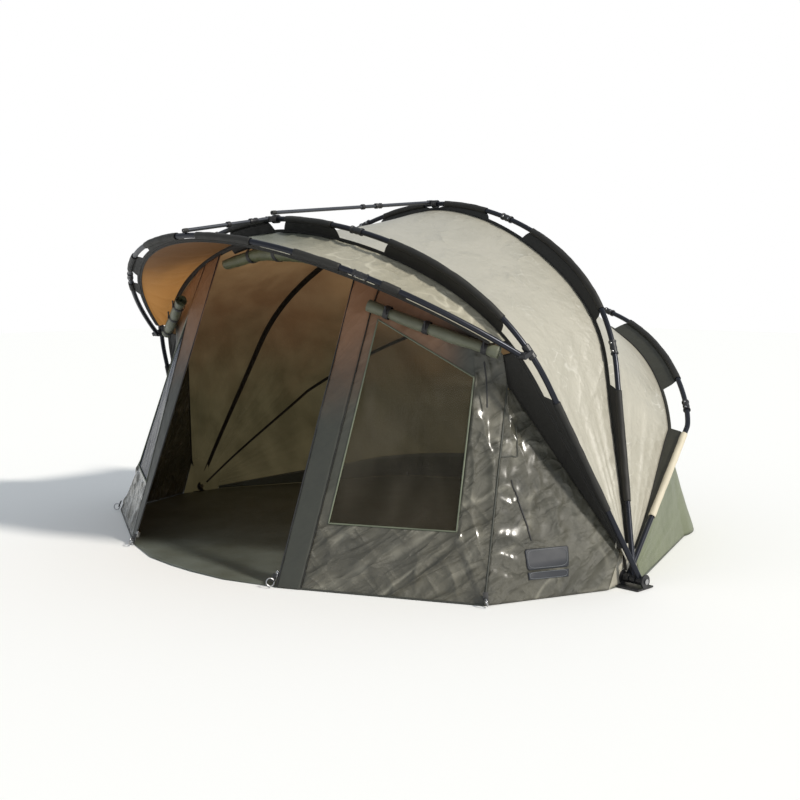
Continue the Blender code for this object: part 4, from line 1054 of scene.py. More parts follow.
def makeWeb(name, rib):
    shares = np.unique(np.concatenate([np.linspace(rib["start"], 1.0, webs["stations"]), *rib["fins"]]))
    outer = onLine(rib, shares, finEdge(rib, shares))
    depth = seamDepth(rib, shares) + webs["lap"]
    if name == "front":
        header = np.where(shares > front["headerShare"], front["doorDrop"], 0.0)
        inner = gussetPoints(onLine(rib, shares, depth + (front["inset"] + webs["lap"] + header)))
    else:
        inner = onLine(rib, shares, depth)
    part = np.linspace(0.0, 1.0, webs["columns"])[None, :, None]
    flat = outer[:, None] * (1 - part) + inner[:, None] * part
    size = (len(shares), webs["columns"], 3)
    grid = bothSides(lambda side: inPlane(rib, flat.reshape(-1, 2), side).reshape(size))
    u, v = cutSizes(grid)
    part = v / np.maximum(v[:, -1:], 1e-6)
    pleat = grain(u * 22.0 + v * 40.0, v * 6.0, 51.0) * np.sin(math.pi * part)
    pleat = webs["pleat"] * (pleat * np.clip(v[:, -1:] / 0.06, 0.0, 1.0))
    grid = grid + rib["normal"] * pleat[:, :, None]
    look = "rearWebCloth" if name == "rear" else "webCloth"
    piece = clothPiece(f"{name}WebCloth", grid, (look,), tuple(rib["origin"] - rib["normal"]))
    settle(piece, f"{name}_rib", f"{name}_web")
    declareCloth(grid)


def makeWebs():
    for name, rib in allRibs.items():
        makeWeb(name, rib)
    print("webs made")


# Poles: round tubes on the frame's own lines, each riding its rib
poles = {
    "steps": 70, "knuckle": 0.016, "peakKnuckle": 0.014, "knuckleLength": 0.060, "ring": 0.0022,
    "ringWidth": 0.007, "rivet": 0.0045, "eyeInset": 0.0102, "eye": (0.0066, 0.017, 0.012),
    "peakEye": (0.0053, 0.014, 0.017),
}


def eyeProfile(bore, radius, half):
    return [
        (bore, -half), (radius - 0.001, -half), (radius, -half + 0.001),
        (radius, half - 0.001), (radius - 0.001, half), (bore, half),
    ]


def knuckleProfile(radius):
    bore, half = poleRadius + gap, poles["knuckleLength"] / 2
    ring, width = poles["ring"], poles["ringWidth"]
    outer = radius - ring
    return [
        (bore, -half), (radius - 0.001, -half), (radius, -half + 0.001), (radius, -half + width),
        (outer, -half + width + 0.002), (outer, -width * 0.6), (outer + 0.001, -width * 0.4),
        (outer + 0.001, width * 0.4), (outer, width * 0.6), (outer, half - width - 0.002),
        (radius, half - width), (radius, half - 0.001), (radius - 0.001, half), (bore, half),
    ]


def ribLine(rib, low, high, side):
    return inPlane(rib, onLine(rib, np.linspace(low, high, poles["steps"])), side)


def makePole(name, node, points, body):
    settle(tubeThrough(name, points, poleRadius, "pole"), body, node)


def makeKnuckle(name, node, rib, share, side, body):
    radius = poles["peakKnuckle" if rib is peak else "knuckle"]
    centre = inPlane(rib, onLine(rib, [share]), side)[0]
    ahead = inPlane(rib, onLine(rib, [share + 0.004]), side)[0] - centre
    settle(turned(name, knuckleProfile(radius), centre, ahead, "moulded"), body, node)
    rivet = [(0.0, 0.0), (poles["rivet"], 0.0), (poles["rivet"] * 0.8, 0.0016), (0.0, 0.0022)]
    outward = Vector(rib["normal"]) * (-1.0 if rib is ribs["front"] else 1.0)
    for k, reach in enumerate((-0.3, 0.3)):
        spot = Vector(centre) + Vector(ahead).normalized() * (poles["knuckleLength"] * reach)
        place = spot + outward * (radius - poles["ring"] - 0.0004)
        settle(turned(f"{name}Rivet{k}", rivet, place, outward, "steel", 12, False), body)


def makeEye(name, rib, side, word):
    if rib is peak:
        size, steps = poles["peakEye"], 24
        centre = inPlane(peak, onLine(peak, [0.0]), side)[0]
        centre[0] += peak["clampInset"] * side * 0.5
    else:
        size, steps, centre = poles["eye"], 28, (rib["hubX"] * side, hub.y, hub.z)
    loop = turned(f"{name}Eye_{word}", eyeProfile(*size), centre, (1.0, 0.0, 0.0), "moulded", steps)
    settle(loop, f"{name}_rib")


def makeRibPoles():
    for name, rib in allRibs.items():
        body = f"{name}_rib"
        spans = [("Arc", rib.get("collar", 0.0), rib["knuckle"])]
        joints = [("Knuckle", rib["knuckle"])]
        if rib is not peak:
            spans.insert(0, ("Leg", poles["eyeInset"] / rib["length"], rib["collar"]))
        if name in ("rear", "main"):
            joints.append(("Collar", rib["collar"]))
        for side, word in sidesOfTent:
            for part, low, high in spans:
                node = f"{name}_{part.lower()}_{word}"
                makePole(f"{name}{part}Tube_{word}", node, ribLine(rib, low, high, side), body)
            for part, share in joints:
                makeKnuckle(f"{name}{part}_{word}", f"{name}_{part.lower()}_{word}", rib, share, side, body)
            makeEye(name, rib, side, word)
        crown = bothSides(lambda side: ribLine(rib, rib["knuckle"], 1.0, side))
        makePole(f"{name}CrownTube", f"{name}_crown", crown, body)
    print("rib poles made")


# Sleeves of web cloth round the poles, and the piping along each seam
sleeves = {"radius": 0.0135, "wall": 0.0010, "sides": 18, "pitch": 0.008, "inset": 0.004, "peakInset": 0.006}


def sleeveOn(name, k, low, high, side, word):
    rib = allRibs[name]
    count = max(int((high - low) * rib["length"] / sleeves["pitch"]), 12)
    points = inPlane(rib, onLine(rib, np.linspace(low, high, count)), side)
    angles = np.linspace(0.0, math.tau, sleeves["sides"], endpoint=False)
    along = (np.arange(count) * sleeves["pitch"])[:, None]
    puff = grain(along * 20.0, np.cos(angles)[None, :] * 1.2 + 3.0 * side, rib["lean"]) * 0.0016
    puff += grain(along * 45.0, np.sin(angles)[None, :] * 1.5, rib["lean"] + 9.0) * 0.0007
    grid = ringsAlong(points, angles, sleeves["radius"] + np.maximum(puff, -0.0006))
    title = f"{name}Sleeve{k}_{word}"
    onLeg = rib is not peak and k == 0
    look = "sleeveTan" if onLeg and name == "rear" else "webCloth"
    piece = addPiece(title, meshOf(title, grid, closed=True), look)
    thicken(piece, sleeves["wall"])
    turnOutward(piece.data)
    piece.data.shade_smooth()
    settle(piece, f"{name}_rib")


def makeSleeves():
    for name, rib in allRibs.items():
        inset = sleeves["peakInset" if rib is peak else "inset"]
        for side, word in sidesOfTent:
            for k, (low, high) in enumerate(rib["fins"]):
                sleeveOn(name, k, low + inset, high - inset, side, word)
    print("sleeves made")


piping = {"radius": 0.0030, "outer": -0.0042, "inner": 0.0062, "steps": 220}


def makePiping():
    for name, rib in allRibs.items():
        shares = np.linspace(rib["start"], 1.0, piping["steps"])
        for word in ("outer", "inner"):
            line = bothSides(lambda side: seamLine(rib, shares, side, 0.0, piping[word]))
            piece = tubeThrough(f"{name}Piping_{word}", line, piping["radius"], "webCloth", 3)
            settle(piece, f"{name}_rib")
    print("piping made")


# The front wall: window panels, side panels and door strips on one grid of corners, from the door outwards
wallGrid = np.array([
    [
        (0.500, -0.980, 0.0), (0.589, -0.934, 0.0), (0.627, -0.915, 0.0),
        (1.102, -0.671, 0.0), (1.230, -0.605, 0.0),
    ],
    [
        (0.494, -0.890, 0.245), (0.594, -0.849, 0.245), (0.632, -0.828, 0.245),
        (1.075, -0.591, 0.245), (1.178, -0.507, 0.245),
    ],
    [
        (0.476, -0.600, 1.030), (0.608, -0.588, 1.030), (0.639, -0.574, 1.012),
        (1.000, -0.418, 0.800), (1.067, -0.300, 0.761),
    ],
    [
        (0.470, -0.511, 1.279), (0.610, -0.493, 1.237), (0.689, -0.482, 1.208),
        (0.985, -0.416, 1.046), (1.085, -0.351, 0.886),
    ],
])
wall = {
    "outward": (0.433, -0.842, 0.321), "fold": (0.0, -0.9265, -0.3762), "keep": 0.1,
    "inside": (0.3, -0.1, 0.5), "lowest": 0.001, "thickness": 0.0012,
    "stripStand": 0.0035, "stripThickness": 0.0016,
    "filmStand": -0.0022, "filmThickness": 0.0005,
}


def onWall(u, v):
    u, v = np.broadcast_arrays(np.asarray(u, float), np.asarray(v, float))
    i = np.clip(v.astype(int), 0, 2)
    j = np.clip(u.astype(int), 0, 3)
    a, b = (v - i)[..., None], (u - j)[..., None]
    low = wallGrid[i, j] * (1 - b) + wallGrid[i, j + 1] * b
    high = wallGrid[i + 1, j] * (1 - b) + wallGrid[i + 1, j + 1] * b
    return low * (1 - a) + high * a


def stretch(marks, sizes):
    values = [np.linspace(a, b, size + 1)[:-1] for a, b, size in zip(marks, marks[1:], sizes)]
    return np.concatenate(values + [[marks[-1]]])


def nearest(*distances):
    return np.minimum.reduce(distances)


def wallHeights(grid, u, v, side):
    # Broad swells, crinkles below the window, slanted folds beside it, and the pleat to the corner.
    cutU, cutV = cutSizes(grid)
    seed = 60.0 + side
    heights = 0.004 * grain(cutU * 3.0, cutV * 3.0, seed)
    low = 1.0 - smooth(v, 0.85, 1.1)
    heights += low * 0.0095 * creases(cutU * 5.0 + cutV * 5.0, cutV * 3.0 - cutU * 2.0, seed + 1.0, 2.2)
    heights += low * 0.0040 * creases(cutU * 13.0 - cutV * 9.0, cutV * 8.0, seed + 2.0)
    beside = smooth(u, 2.9, 3.2) * smooth(v, 0.2, 0.8)
    heights += beside * 0.0095 * creases(cutU * 5.0 + cutV * 5.0, cutV * 9.0, seed + 3.0)
    heights += 0.0012 * grain(cutU * 26.0, cutV * 26.0, seed + 4.0)
    pleat = np.abs((u - 3.0) - (1.0 - v))
    heights += 0.008 * np.exp(-((pleat / 0.10) ** 2)) * (1.0 - smooth(v, 0.9, 1.1)) * smooth(u, 2.95, 3.05)
    heights += smooth(v, 2.0, 2.3) * 0.005 * creases(cutU * 5.0, cutV * 9.0, seed + 5.0, 1.5)
    return heights * np.clip(nearest(u - 1.0, 4.0 - u, v * 1.6, (3.0 - v) * 1.2) / 0.25, 0.0, 1.0)


def sewOnWall(name, look, side, plain, heights, thickness, rests, slot="wall", node=None, **more):
    centre = mirrored(np.array(more.pop("centre", wall["inside"])), side)
    piece = clothPiece(name, plain, (look,), centre, thickness, heights, **more)
    declareCloth(plain, more.get("holes"))
    foldWithFront(piece, node=node)


def makeWindowWall(side, word):
    up = stretch((0.0, 1.0, 2.0, 3.0), (44, 110, 32))
    u, v = np.meshgrid(stretch((1.0, 2.0, 3.0, 4.0), (8, 76, 30)), up)
    plain = mirrored(onWall(u, v), side)
    heights = wallHeights(plain, u, v, side)
    midU, midV = (u[:-1, :-1] + u[1:, 1:]) / 2, (v[:-1, :-1] + v[1:, 1:]) / 2
    window = (midU > 2.0) & (midU < 3.0) & (midV > 1.0) & (midV < 2.0)
    toFrame = nearest(np.abs(u - 2.0) * 3, np.abs(u - 3.0) * 3, np.abs(v - 1.0) * 6, np.abs(v - 2.0) * 6)
    near = (u > 1.9) & (u < 3.1) & (v > 0.93) & (v < 2.07)
    heights = np.where(near, heights * np.clip(toFrame, 0.15, 1.0), heights)
    shine = np.clip(1.0 - smooth(v, 0.9, 1.3) + 0.75 * smooth(u, 2.95, 3.1), 0.12, 1.0)
    shine *= 1.0 - 0.5 * smooth(v, 1.9, 2.2)
    sewOnWall(
        f"windowWall_{word}", "wallCloth", side, plain, heights, wall["thickness"], ["front_web"],
        node=f"window_panel_{word}", lowest=wall["lowest"], holes=window, shine=shine,
    )

    plain = mirrored(onWall(*np.meshgrid(stretch((0.0, 1.0), (9,)), up)), side)
    cutU, cutV = cutSizes(plain)
    heights = wall["stripStand"] + 0.003 * grain(cutU * 5.0, cutV * 8.0, 70.0)
    heights += 0.0012 * grain(cutU * 24.0, cutV * 18.0, 71.0)
    sewOnWall(
        f"doorStrip_{word}", "wallCloth", side, plain, heights, wall["stripThickness"],
        [f"windowWall_{word}"], lowest=wall["lowest"],
    )

    u, v = np.meshgrid(np.linspace(1.985, 3.015, 60), np.linspace(0.985, 2.010, 90))
    plain = mirrored(onWall(u, v), side)
    cutU, cutV = cutSizes(plain)
    ripples = 0.0035 * grain(cutU * 2.5, cutV * 4.0, 80.0)
    ripples += 0.002 * creases(cutU * 5.0, cutV * 11.0, 81.0, 1.4)
    edge = nearest(u - u.min(), u.max() - u, v - v.min(), v.max() - v)
    heights = wall["filmStand"] + ripples * np.clip(edge / 0.10, 0.0, 1.0)
    # The left film takes the copy with the painted sky reflection.
    look = "film" if side > 0 else "filmPaintedSky"
    sewOnWall(
        f"windowFilm_{word}", look, side, plain, heights, wall["filmThickness"], [f"windowWall_{word}"],
        "pane", f"window_pane_{word}",
    )


def makeWallTrim(side, word):
    round4 = stretch(range(5), (59, 59, 59, 59))[:-1]
    frameU, frameV = [np.interp(round4, range(5), knots) for knots in ((2, 2, 3, 3, 2), (2, 1, 1, 2, 2))]
    up = np.linspace(0.01, 2.98, 90)
    trims = (
        ("windowPiping", frameU, frameV, 0.0012, 0.0032, "pipingPale"),
        ("zipCoil", 0.03, up, 0.0052, 0.0026, "moulded"),
        ("stripSeam", 1.02, up, 0.0040, 0.0024, "webCloth"),
        ("cornerSeam", 3.985, np.linspace(0.01, 2.1, 70), 0.0022, 0.0032, "wallCloth"),
        ("frontHem", np.linspace(1.0, 3.98, 80), 0.012, 0.0012, 0.0030, "wallCloth"),
    )
    for name, u, v, stand, radius, look in trims:
        line = mirrored(onWall(u, v) + np.array(wall["outward"]) * stand, side)
        foldWithFront(tubeThrough(f"{name}_{word}", line, radius, look, 3, name == "windowPiping"))


# The side panel, from the corner seam to the gusset and from the ground to its top
sidePanel = {
    "rows": 90, "columns": 54, "hubStart": (1.411, -0.108, 0.0), "kneeR": 0.120, "knee": 0.15,
    "sill": 0.32, "top": 0.985, "centre": (0.6, 0.2, 0.4), "outward": (0.890, -0.324, 0.320),
}


def onSide(s, t):
    # s runs from the corner seam to the gusset, t from the ground to the top.
    sill, knee = sidePanel["sill"], sidePanel["knee"]
    left = onWall(np.full(s.shape, 4.0), np.where(t < sill, t / sill, 1.0 + (t - sill) / (1.0 - sill)))
    above = np.clip((t - knee) / (1 - knee), 0.0, 1.0)
    edge = gussetEdge(sidePanel["kneeR"] + (front["panelTop"][1] - sidePanel["kneeR"]) * above)
    low = np.clip(t / knee, 0.0, 1.0)[..., None]
    right = np.array(sidePanel["hubStart"]) * (1 - low) + edge * low
    return left * (1 - s[..., None]) + right * s[..., None]


def sideHeights(grid, s, t, side):
    cutU, cutV = cutSizes(grid)
    seed = 90.0 + side
    heights = 0.006 * grain(cutU * 3.0, cutV * 3.5, seed)
    nearCorner = 1.0 - 0.6 * smooth(s, 0.2, 0.7)
    heights += 0.0090 * nearCorner * creases(cutV * 8.0 + cutU * 2.5, cutU * 1.8 - cutV, seed + 1.0, 2.2)
    heights += 0.0035 * nearCorner * creases(cutV * 17.0 - cutU * 5.0, cutU * 5.0, seed + 2.0)
    scallops = creases(cutU * 15.0 + cutV * 6.0, cutV * 3.0, seed + 5.0)
    heights += 0.0060 * (1.0 - smooth(s, 0.08, 0.30)) * scallops
    heights += 0.0012 * grain(cutU * 30.0, cutV * 30.0, seed + 3.0)
    # The cloth lies flat under the badge.
    heights *= smooth(np.linalg.norm(grid - mirrored(np.array(badge["middle"]), side), axis=2), 0.05, 0.16)
    return heights * np.clip(nearest(s * 5.0, (1.0 - s) * 5.0, t * 9.0, (1.0 - t) * 6.0), 0.0, 1.0)


def makeSidePanel(side, word):
    s = np.linspace(0.0, 1.0, sidePanel["columns"])
    s, t = np.meshgrid(s, np.linspace(0.0, sidePanel["top"], sidePanel["rows"]))
    plain = mirrored(onSide(s, t), side)
    heights = sideHeights(plain, s, t, side)
    sewOnWall(
        f"sidePanelCloth_{word}", "wallCloth", side, plain, heights, wall["thickness"],
        ["front_web", f"windowWall_{word}"], node=f"side_panel_{word}", centre=sidePanel["centre"],
        lowest=wall["lowest"], shine=0.78 - 0.25 * smooth(s, 0.35, 0.9),
    )


# Marks sewn on the side panels: a bare badge on the right one, and a strap and a flap's outline on both
badge = {
    "corners": (
        (1.262, -0.416, 0.101), (1.322, -0.255, 0.098), (1.239, -0.407, 0.174), (1.302, -0.237, 0.172),
    ),
    "middle": (1.281, -0.329, 0.130), "stand": 0.0020, "edgeStand": 0.0034, "thickness": 0.0022,
}
sideMarks = {
    "sideStrap": (
        ((1.158, -0.384, 0.423), (1.200, -0.378, 0.313), (1.242, -0.371, 0.203)), "strapBlack", 0.0032,
    ),
    "flapOutline": (
        ((1.086, -0.383, 0.623), (1.116, -0.415, 0.509), (1.145, -0.340, 0.504), (1.115, -0.307, 0.619)),
        "wallCloth", 0.0028,
    ),
}


def laidOnSide(points, stand, side):
    # The points brought onto the outer face of the finished side panel.
    outward = Vector(mirrored(np.array(sidePanel["outward"]), side)).normalized()
    under = bpy.data.objects[f"sidePanelCloth_{'right' if side > 0 else 'left'}"]
    starts = [Vector(point) + outward * 0.02 for point in points.reshape(-1, 3)]
    spots = [under.closest_point_on_mesh(start)[1] + outward * stand for start in starts]
    return np.array(spots).reshape(points.shape)


def makePatch(name, corners, rounding):
    # A bare dark patch with rounded corners, with a pale edge line.
    a, b, c, d = corners

    def between(s, t):
        s, t = s[..., None], t[..., None]
        return (a * (1 - s) + b * s) * (1 - t) + (c * (1 - s) + d * s) * t

    s, t = np.meshgrid(np.linspace(0.0, 1.0, 40), np.linspace(0.0, 1.0, 20))
    grid = laidOnSide(between(s, t), badge["stand"], 1)
    middles = [(k[:-1, :-1] + k[1:, 1:]) / 2 for k in (s, t)]
    past = [np.clip(np.abs(k - 0.5) * 2 - 1.0 + size, 0.0, 1.0) / size for k, size in zip(middles, rounding)]
    cut = np.hypot(*past) > 1.0
    piece = clothPiece(name, grid, ("patchNavy",), sidePanel["centre"], badge["thickness"], holes=cut)
    foldWithFront(piece)
    around = np.linspace(0.0, math.tau, 97)
    x, y = np.cos(around), np.sin(around)
    rim = between(0.5 + 0.46 * np.sign(x) * np.abs(x) ** 0.30, 0.5 + 0.43 * np.sign(y) * np.abs(y) ** 0.45)
    line = laidOnSide(rim, badge["edgeStand"], 1)
    foldWithFront(tubeThrough(f"{name}Edge", line, 0.0012, "patchEdge", 2))


def makeBadge():
    a, b, c, d = corners = [np.array(p) for p in badge["corners"]]
    makePatch("badgePatch", corners, (0.10, 0.20))
    low = [a - (c - a) * 0.46, b - (d - b) * 0.46, a - (c - a) * 0.10, b - (d - b) * 0.10]
    makePatch("badgeStrip", low, (0.05, 0.30))


def makeSideMarks(side, word):
    for name, (knots, look, radius) in sideMarks.items():
        points = laidOnSide(through(mirrored(np.array(knots), side), 50), 0.0006, side)
        foldWithFront(tubeThrough(f"{name}_{word}", points, radius, look, 2))


def makeFrontWall():
    for side, word in sidesOfTent:
        makeWindowWall(side, word)
        makeWallTrim(side, word)
        makeSidePanel(side, word)
        makeSideMarks(side, word)
    makeBadge()
    print("front wall made")


# Rolled cloth: a real spiral of cloth, held by straps
rolls = {
    "turns": 3.6, "core": 0.008, "around": 90, "along": 80, "thickness": 0.0012,
    "flapStart": (0.634, -0.620, 1.070), "flapEnd": (1.104, -0.394, 0.898), "flapRadius": 0.0265,
    "flapStraps": (0.16, 0.46, 0.90), "flapLooks": {"right": "rollPale", "left": "rollOlive"},
    "tie": ((1.030, -0.395, 0.860), (1.046, -0.400, 0.800), (1.058, -0.408, 0.735), (1.064, -0.414, 0.690)),
    "doorHalf": 0.400, "doorDrop": 0.052, "doorStand": 0.0392, "doorStraps": (0.12, 0.50, 0.745),
    "doorSwell": ((-0.400, -0.240, -0.05, 0.17, 0.20, 0.40), (0.024, 0.0400, 0.0410, 0.032, 0.030, 0.026)),
    "strapWidth": 0.022, "strapStand": 0.0024, "strapThickness": 0.0014,
    "toggleRadius": 0.0045, "toggleLength": 0.034, "toggleStand": 0.031,
}


def rollGrid(points, radii, seed):
    turn = np.linspace(0.0, 1.0, rolls["around"])
    angles = turn * math.tau * rolls["turns"]
    spread = rolls["core"] + (radii[:, None] - rolls["core"]) * turn[None, :]
    along = np.concatenate([[0.0], np.cumsum(np.linalg.norm(np.diff(points, axis=0), axis=1))])[:, None]
    lumps = grain(along * 9.0, np.cos(angles)[None, :] * 0.8, seed) * 0.09
    lumps += creases(along * 30.0 + angles[None, :] * 0.6, angles[None, :] * 0.9, seed + 1.0, 1.6) * 0.055
    return ringsAlong(points, angles, spread * (1.0 + lumps * np.clip(turn * 1.6, 0.0, 1.0)[None, :]))


def holdRoll(piece, node=None):
    # The window flaps lie against the wall and ride with its pieces; the door hangs from the rib itself.
    if piece.name.startswith("flap"):
        foldWithFront(piece, node=node)
    else:
        settle(piece, "front_rib", node)


def makeRoll(name, node, points, radii, look, seed):
    grid = rollGrid(points, radii, seed)
    piece = addPiece(name, meshOf(name, grid), look)
    thicken(piece, rolls["thickness"])
    piece.data.shade_smooth()
    declareCloth(grid)
    holdRoll(piece, node)


def strapRing(name, points, place, radius):
    # A webbing loop round the roll, at a share of its length.
    k = int(place * (len(points) - 1))
    half, outer = rolls["strapWidth"] / 2, radius + rolls["strapStand"]
    inner = outer - rolls["strapThickness"]
    profile = [(inner, -half), (outer, -half), (outer + 0.0006, 0.0), (outer, half), (inner, half)]
    holdRoll(turned(name, profile, points[k], frameAlong(points)[0][k], "strapBlack", 32))
    return points[k]


def makeToggle(name, spot):
    r, half = rolls["toggleRadius"], rolls["toggleLength"] / 2
    profile = [
        (0.0, -half), (r * 0.8, -half), (r, -half * 0.85), (r * 0.7, -half * 0.3),
        (r * 0.7, half * 0.3), (r, half * 0.85), (r * 0.8, half), (0.0, half),
    ]
    holdRoll(turned(name, profile, spot, (0.0, 0.0, 1.0), "moulded", 16, False))


def makeFlapRoll(side, word):
    step = np.linspace(0.0, 1.0, rolls["along"])
    line = np.array(rolls["flapStart"]) * (1 - step[:, None]) + np.array(rolls["flapEnd"]) * step[:, None]
    line[:, 2] -= 0.006 * np.sin(math.pi * step)
    points = mirrored(line, side)
    radii = rolls["flapRadius"] * (0.94 + 0.06 * np.cos(step * 19.0))
    for place in rolls["flapStraps"]:
        radii = radii * (1.0 - 0.14 * np.exp(-(((step - place) / 0.03) ** 2)))
    makeRoll(f"flapRoll_{word}", f"rolled_flap_{word}", points, radii, rolls["flapLooks"][word], 100.0 + side)
    outward = mirrored(np.array(wall["outward"]), side) * rolls["toggleStand"]
    for k, place in enumerate(rolls["flapStraps"]):
        spot = strapRing(f"flapStrap{k}_{word}", points, place, rolls["flapRadius"] * 0.90)
        makeToggle(f"flapToggle{k}_{word}", spot + outward)
    cord = tubeThrough(f"flapTie_{word}", mirrored(np.array(rolls["tie"]), side), 0.0030, "strapBlack", 3)
    foldWithFront(cord)


def doorLine(x):
    # The rolled door hangs below the front rib's seam: its height at x is found by halving steps.
    rib = ribs["front"]
    low, high = rib["collar"], 1.0
    for _ in range(40):
        middle = (low + high) / 2
        flat = onLine(rib, [middle], seamDepth(rib, [middle]) + webs["lap"] + front["inset"])
        low, high = (middle, high) if flat[0, 0] > abs(x) else (low, middle)
    r = onLine(rib, [low], seamDepth(rib, [low]) + webs["lap"] + front["inset"])[0, 1] - rolls["doorDrop"]
    return inPlane(rib, [abs(x), r], math.copysign(1, x), rolls["doorStand"])[0]


def makeRolls():
    for side, word in sidesOfTent:
        makeFlapRoll(side, word)
    x = np.linspace(rolls["doorHalf"], -rolls["doorHalf"], rolls["along"])
    line = np.array([doorLine(value) for value in x])
    line[:, 2] -= 0.004 * np.sin(np.linspace(0.0, math.pi * 3, len(x))) ** 2
    swell = np.interp(-x, *rolls["doorSwell"])
    makeRoll("doorRoll", "rolled_door", line, swell, "rollOlive", 120.0)
    for k, place in enumerate(rolls["doorStraps"]):
        strapRing(f"doorStrap{k}", line, place, swell[int(place * (len(x) - 1))] * 0.99)
    print("rolls made")


# Tension bars, with the clips and lock collars on them
bars = {
    "radius": 0.008,
    "lock": (
        (0.0081, -0.020), (0.0115, -0.020), (0.0125, -0.018), (0.0125, -0.008), (0.0105, -0.006),
        (0.0105, 0.004), (0.0125, 0.006), (0.0125, 0.018), (0.0115, 0.020), (0.0081, 0.020),
    ),
    "clip": ((0.0081, -0.008), (0.012, -0.008), (0.0125, 0.0), (0.012, 0.008), (0.0081, 0.008)),
    "eye": (0.0045, 0.011, 0.008),
    "tip": ((0.0, -0.012), (0.0088, -0.012), (0.0095, 0.0), (0.0088, 0.010), (0.0, 0.012)),
}


def makeBar(name, end, lockShare, clipShare):
    start, end = np.array(jointPlace[f"{name}_bar_lift"]), np.array(end)
    ahead = end - start
    title, body = f"{name}BarTube", f"{name}_bar"
    line = start + ahead * np.linspace(0.0, 1.0, 12)[:, None]
    settle(tubeThrough(title, line, bars["radius"], "alloy"), body, body)
    for part, profile, spot, axis, look in (
        ("Lock", bars["lock"], start + ahead * lockShare, ahead, "moulded"),
        ("Clip", bars["clip"], start + ahead * clipShare, ahead, "moulded"),
        ("Eye", eyeProfile(*bars["eye"]), start, (1.0, 0.0, 0.0), "moulded"),
        ("Tip", bars["tip"], end, ahead, "rubber"),
    ):
        settle(turned(f"{title}{part}", profile, spot, axis, look), body)


def makeBars():
    makeBar("rear", (0.0, -0.578, 1.4470), 0.36, 0.46)
    makeBar("front", (0.0, -1.024, 1.3600), 0.20, 0.50)
    print("tension bars made")


# Groundsheet: laid cloth with low wrinkles, inside the frame's outline
groundsheet = {
    "rows": 150, "columns": 150, "frontY": -1.072, "rearY": 1.440, "lap": 0.011, "stand": 0.0014,
    "outlineY": (-1.075, -1.055, -0.976, -0.608, -0.114, 0.120, 0.915),
    "outlineX": (0.02, 0.25, 0.495, 1.214, 1.397, 1.396, 1.083),
    "bendDepth": 0.528, "thickness": 0.0010,
}


def groundHalfWidth(y):
    # Straight edges up to the last point of the outline, and half an ellipse behind it.
    bendY, bendX = groundsheet["outlineY"][-1], groundsheet["outlineX"][-1]
    straight = np.interp(y, groundsheet["outlineY"], groundsheet["outlineX"])
    bend = bendX * np.sqrt(np.clip(1.0 - ((y - bendY) / groundsheet["bendDepth"]) ** 2, 0.0, 1.0))
    return np.where(y > bendY, np.maximum(bend, 0.02), straight)


def makeGroundsheet():
    y = np.linspace(groundsheet["frontY"], groundsheet["rearY"], groundsheet["rows"])[:, None]
    part = np.linspace(-1.0, 1.0, groundsheet["columns"])[None, :]
    x = (groundHalfWidth(y) + groundsheet["lap"]) * part
    y = np.broadcast_to(y, x.shape)
    waves = 0.0022 * ridges(x * 3.0, y * 3.0, 130.0, 1.5) + 0.0014 * ridges(x * 8.0, y * 7.0, 131.0, 1.5)
    grid = np.stack([x, y, groundsheet["stand"] + waves * (1.0 - part**8)], axis=2)
    below = (0.0, 0.0, -1.0)
    piece = clothPiece("groundsheetCloth", grid, ("groundCloth",), below, groundsheet["thickness"])
    settle(piece, "base", "groundsheet")
    declareCloth(grid)
    print("groundsheet made")


# Rings and pegging tapes
rings = {"wire": 0.0026, "radius": 0.015, "tape": (0.020, 0.0018), "rearAngles": (-62.0, -24.0, 24.0, 62.0)}


def ringAt(name, centre, axis, body="front_rib"):
    bpy.ops.mesh.primitive_torus_add(
        major_segments=32, minor_segments=10, major_radius=rings["radius"], minor_radius=rings["wire"]
    )
    piece = bpy.context.object
    piece.name = name
    piece.data.transform(Matrix.Translation(Vector(centre)) @ facing(axis))
    piece.data.materials.append(finishes["steel"])
    piece.data.shade_smooth()
    foldWithFront(piece, body)


def tapeLoop(name, start, end):
    start, end = Vector(start), Vector(end)
    size = (*rings["tape"], (end - start).length)
    piece = boxPiece(name, size, (start + end) / 2, facing(end - start), "strapBlack", 0.0006, 2)
    foldWithFront(piece)


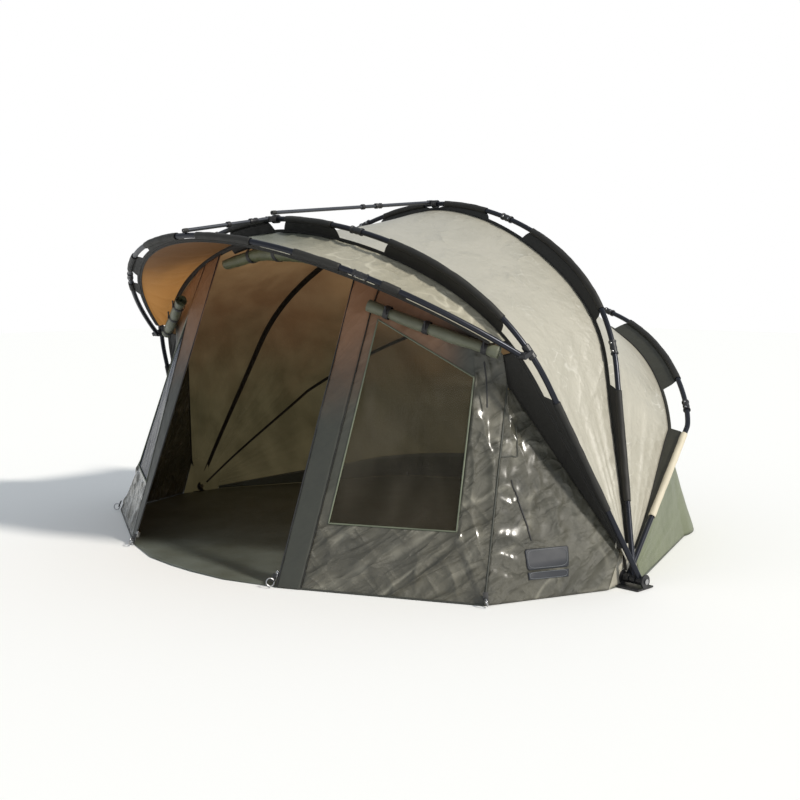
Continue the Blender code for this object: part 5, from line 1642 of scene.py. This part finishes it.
def makeRings():
    for side, word in sidesOfTent:
        foot, corner = np.array([0.492 * side, -0.992, 0.022]), np.array([1.240 * side, -0.612, 0.020])
        ringAt(f"doorRing_{word}", foot + np.array([0.0, -0.010, 0.0]), (0.6 * side, -0.3, 0.2))
        tapeLoop(f"doorTape_{word}", foot + np.array([0.0, 0.014, 0.030]), foot)
        ringAt(f"cornerRing_{word}", corner + np.array([0.008 * side, -0.006, 0.0]), (0.5, 0.7 * side, 0.2))
        tapeLoop(f"cornerTape_{word}", corner + np.array([-0.010 * side, 0.008, 0.030]), corner)
    for k, turn in enumerate(rings["rearAngles"]):
        x, y = 1.07 * math.sin(math.radians(turn)), 0.92 + 0.515 * math.cos(math.radians(turn))
        ringAt(f"rearRing{k}", (x, y, 0.018), (1.0, 0.2, 0.0), "base")
    print("rings made")


# Zip sliders: a rounded body on the coil, a bridge, and a tab that hangs from it
slider = {
    "middle": (0.4935, -0.9655, 0.0465), "along": (0.022, 0.344, 0.939),
    "size": (0.0115, 0.0170, 0.0260), "bridge": (0.0040, 0.0060, 0.0180), "tab": (0.0100, 0.0020, 0.0300),
    "bridgeStand": 0.0090, "tabStand": 0.0125, "tabDrop": 0.0130,
}


def makeSliders():
    along = Vector(slider["along"]).normalized()
    for side, word in sidesOfTent:
        middle = Vector(mirrored(np.array(slider["middle"]), side))
        turn = facing((-along.x * side, along.y, along.z))
        outward = turn @ Vector((0.0, -1.0, 0.0))
        if outward.y > 0.0:
            outward = -outward
        hung = middle + outward * slider["tabStand"] - Vector((0.0, 0.0, slider["tabDrop"]))
        for name, size, place, rounding in (
            ("zipBody", slider["size"], middle, 0.0030),
            ("zipBridge", slider["bridge"], middle + outward * slider["bridgeStand"], 0.0018),
            ("zipTab", slider["tab"], hung, 0.0009),
        ):
            piece = boxPiece(f"{name}_{word}", size, place, turn, "steel", rounding, 4)
            node = f"zip_slider_{word}" if name == "zipBody" else None
            foldWithFront(piece, f"zip_{word}", node)
    print("zip sliders made")


# Pieces of the frame that stay in sight
dressed = {
    "moulded": (
        "pivot_block_left", "pivot_block_right", "peak_clamp_left", "peak_clamp_right",
        "main_lug", "front_lug",
    ),
    "steel": ("axle_left", "axle_right"),
}


def dressNodes():
    for look, nodes in dressed.items():
        for node in nodes:
            thing = bpy.data.objects[node]
            for slot in thing.material_slots:
                slot.material = finishes[look]
            edge = rounded(thing, 0.0010, 2)
            edge.limit_method = "ANGLE"
            edge.angle_limit = math.radians(35.0)
    print("frame pieces dressed")


makeLines()
makeStage()
makeFinishes()
makeCanopies()
makeHood()
makeRearWall()
makeWebs()
makeRibPoles()
makeSleeves()
makePiping()
makeFrontWall()
makeRolls()
makeBars()
makeGroundsheet()
makeInnerCloths()
makeRings()
makeSliders()
dressNodes()
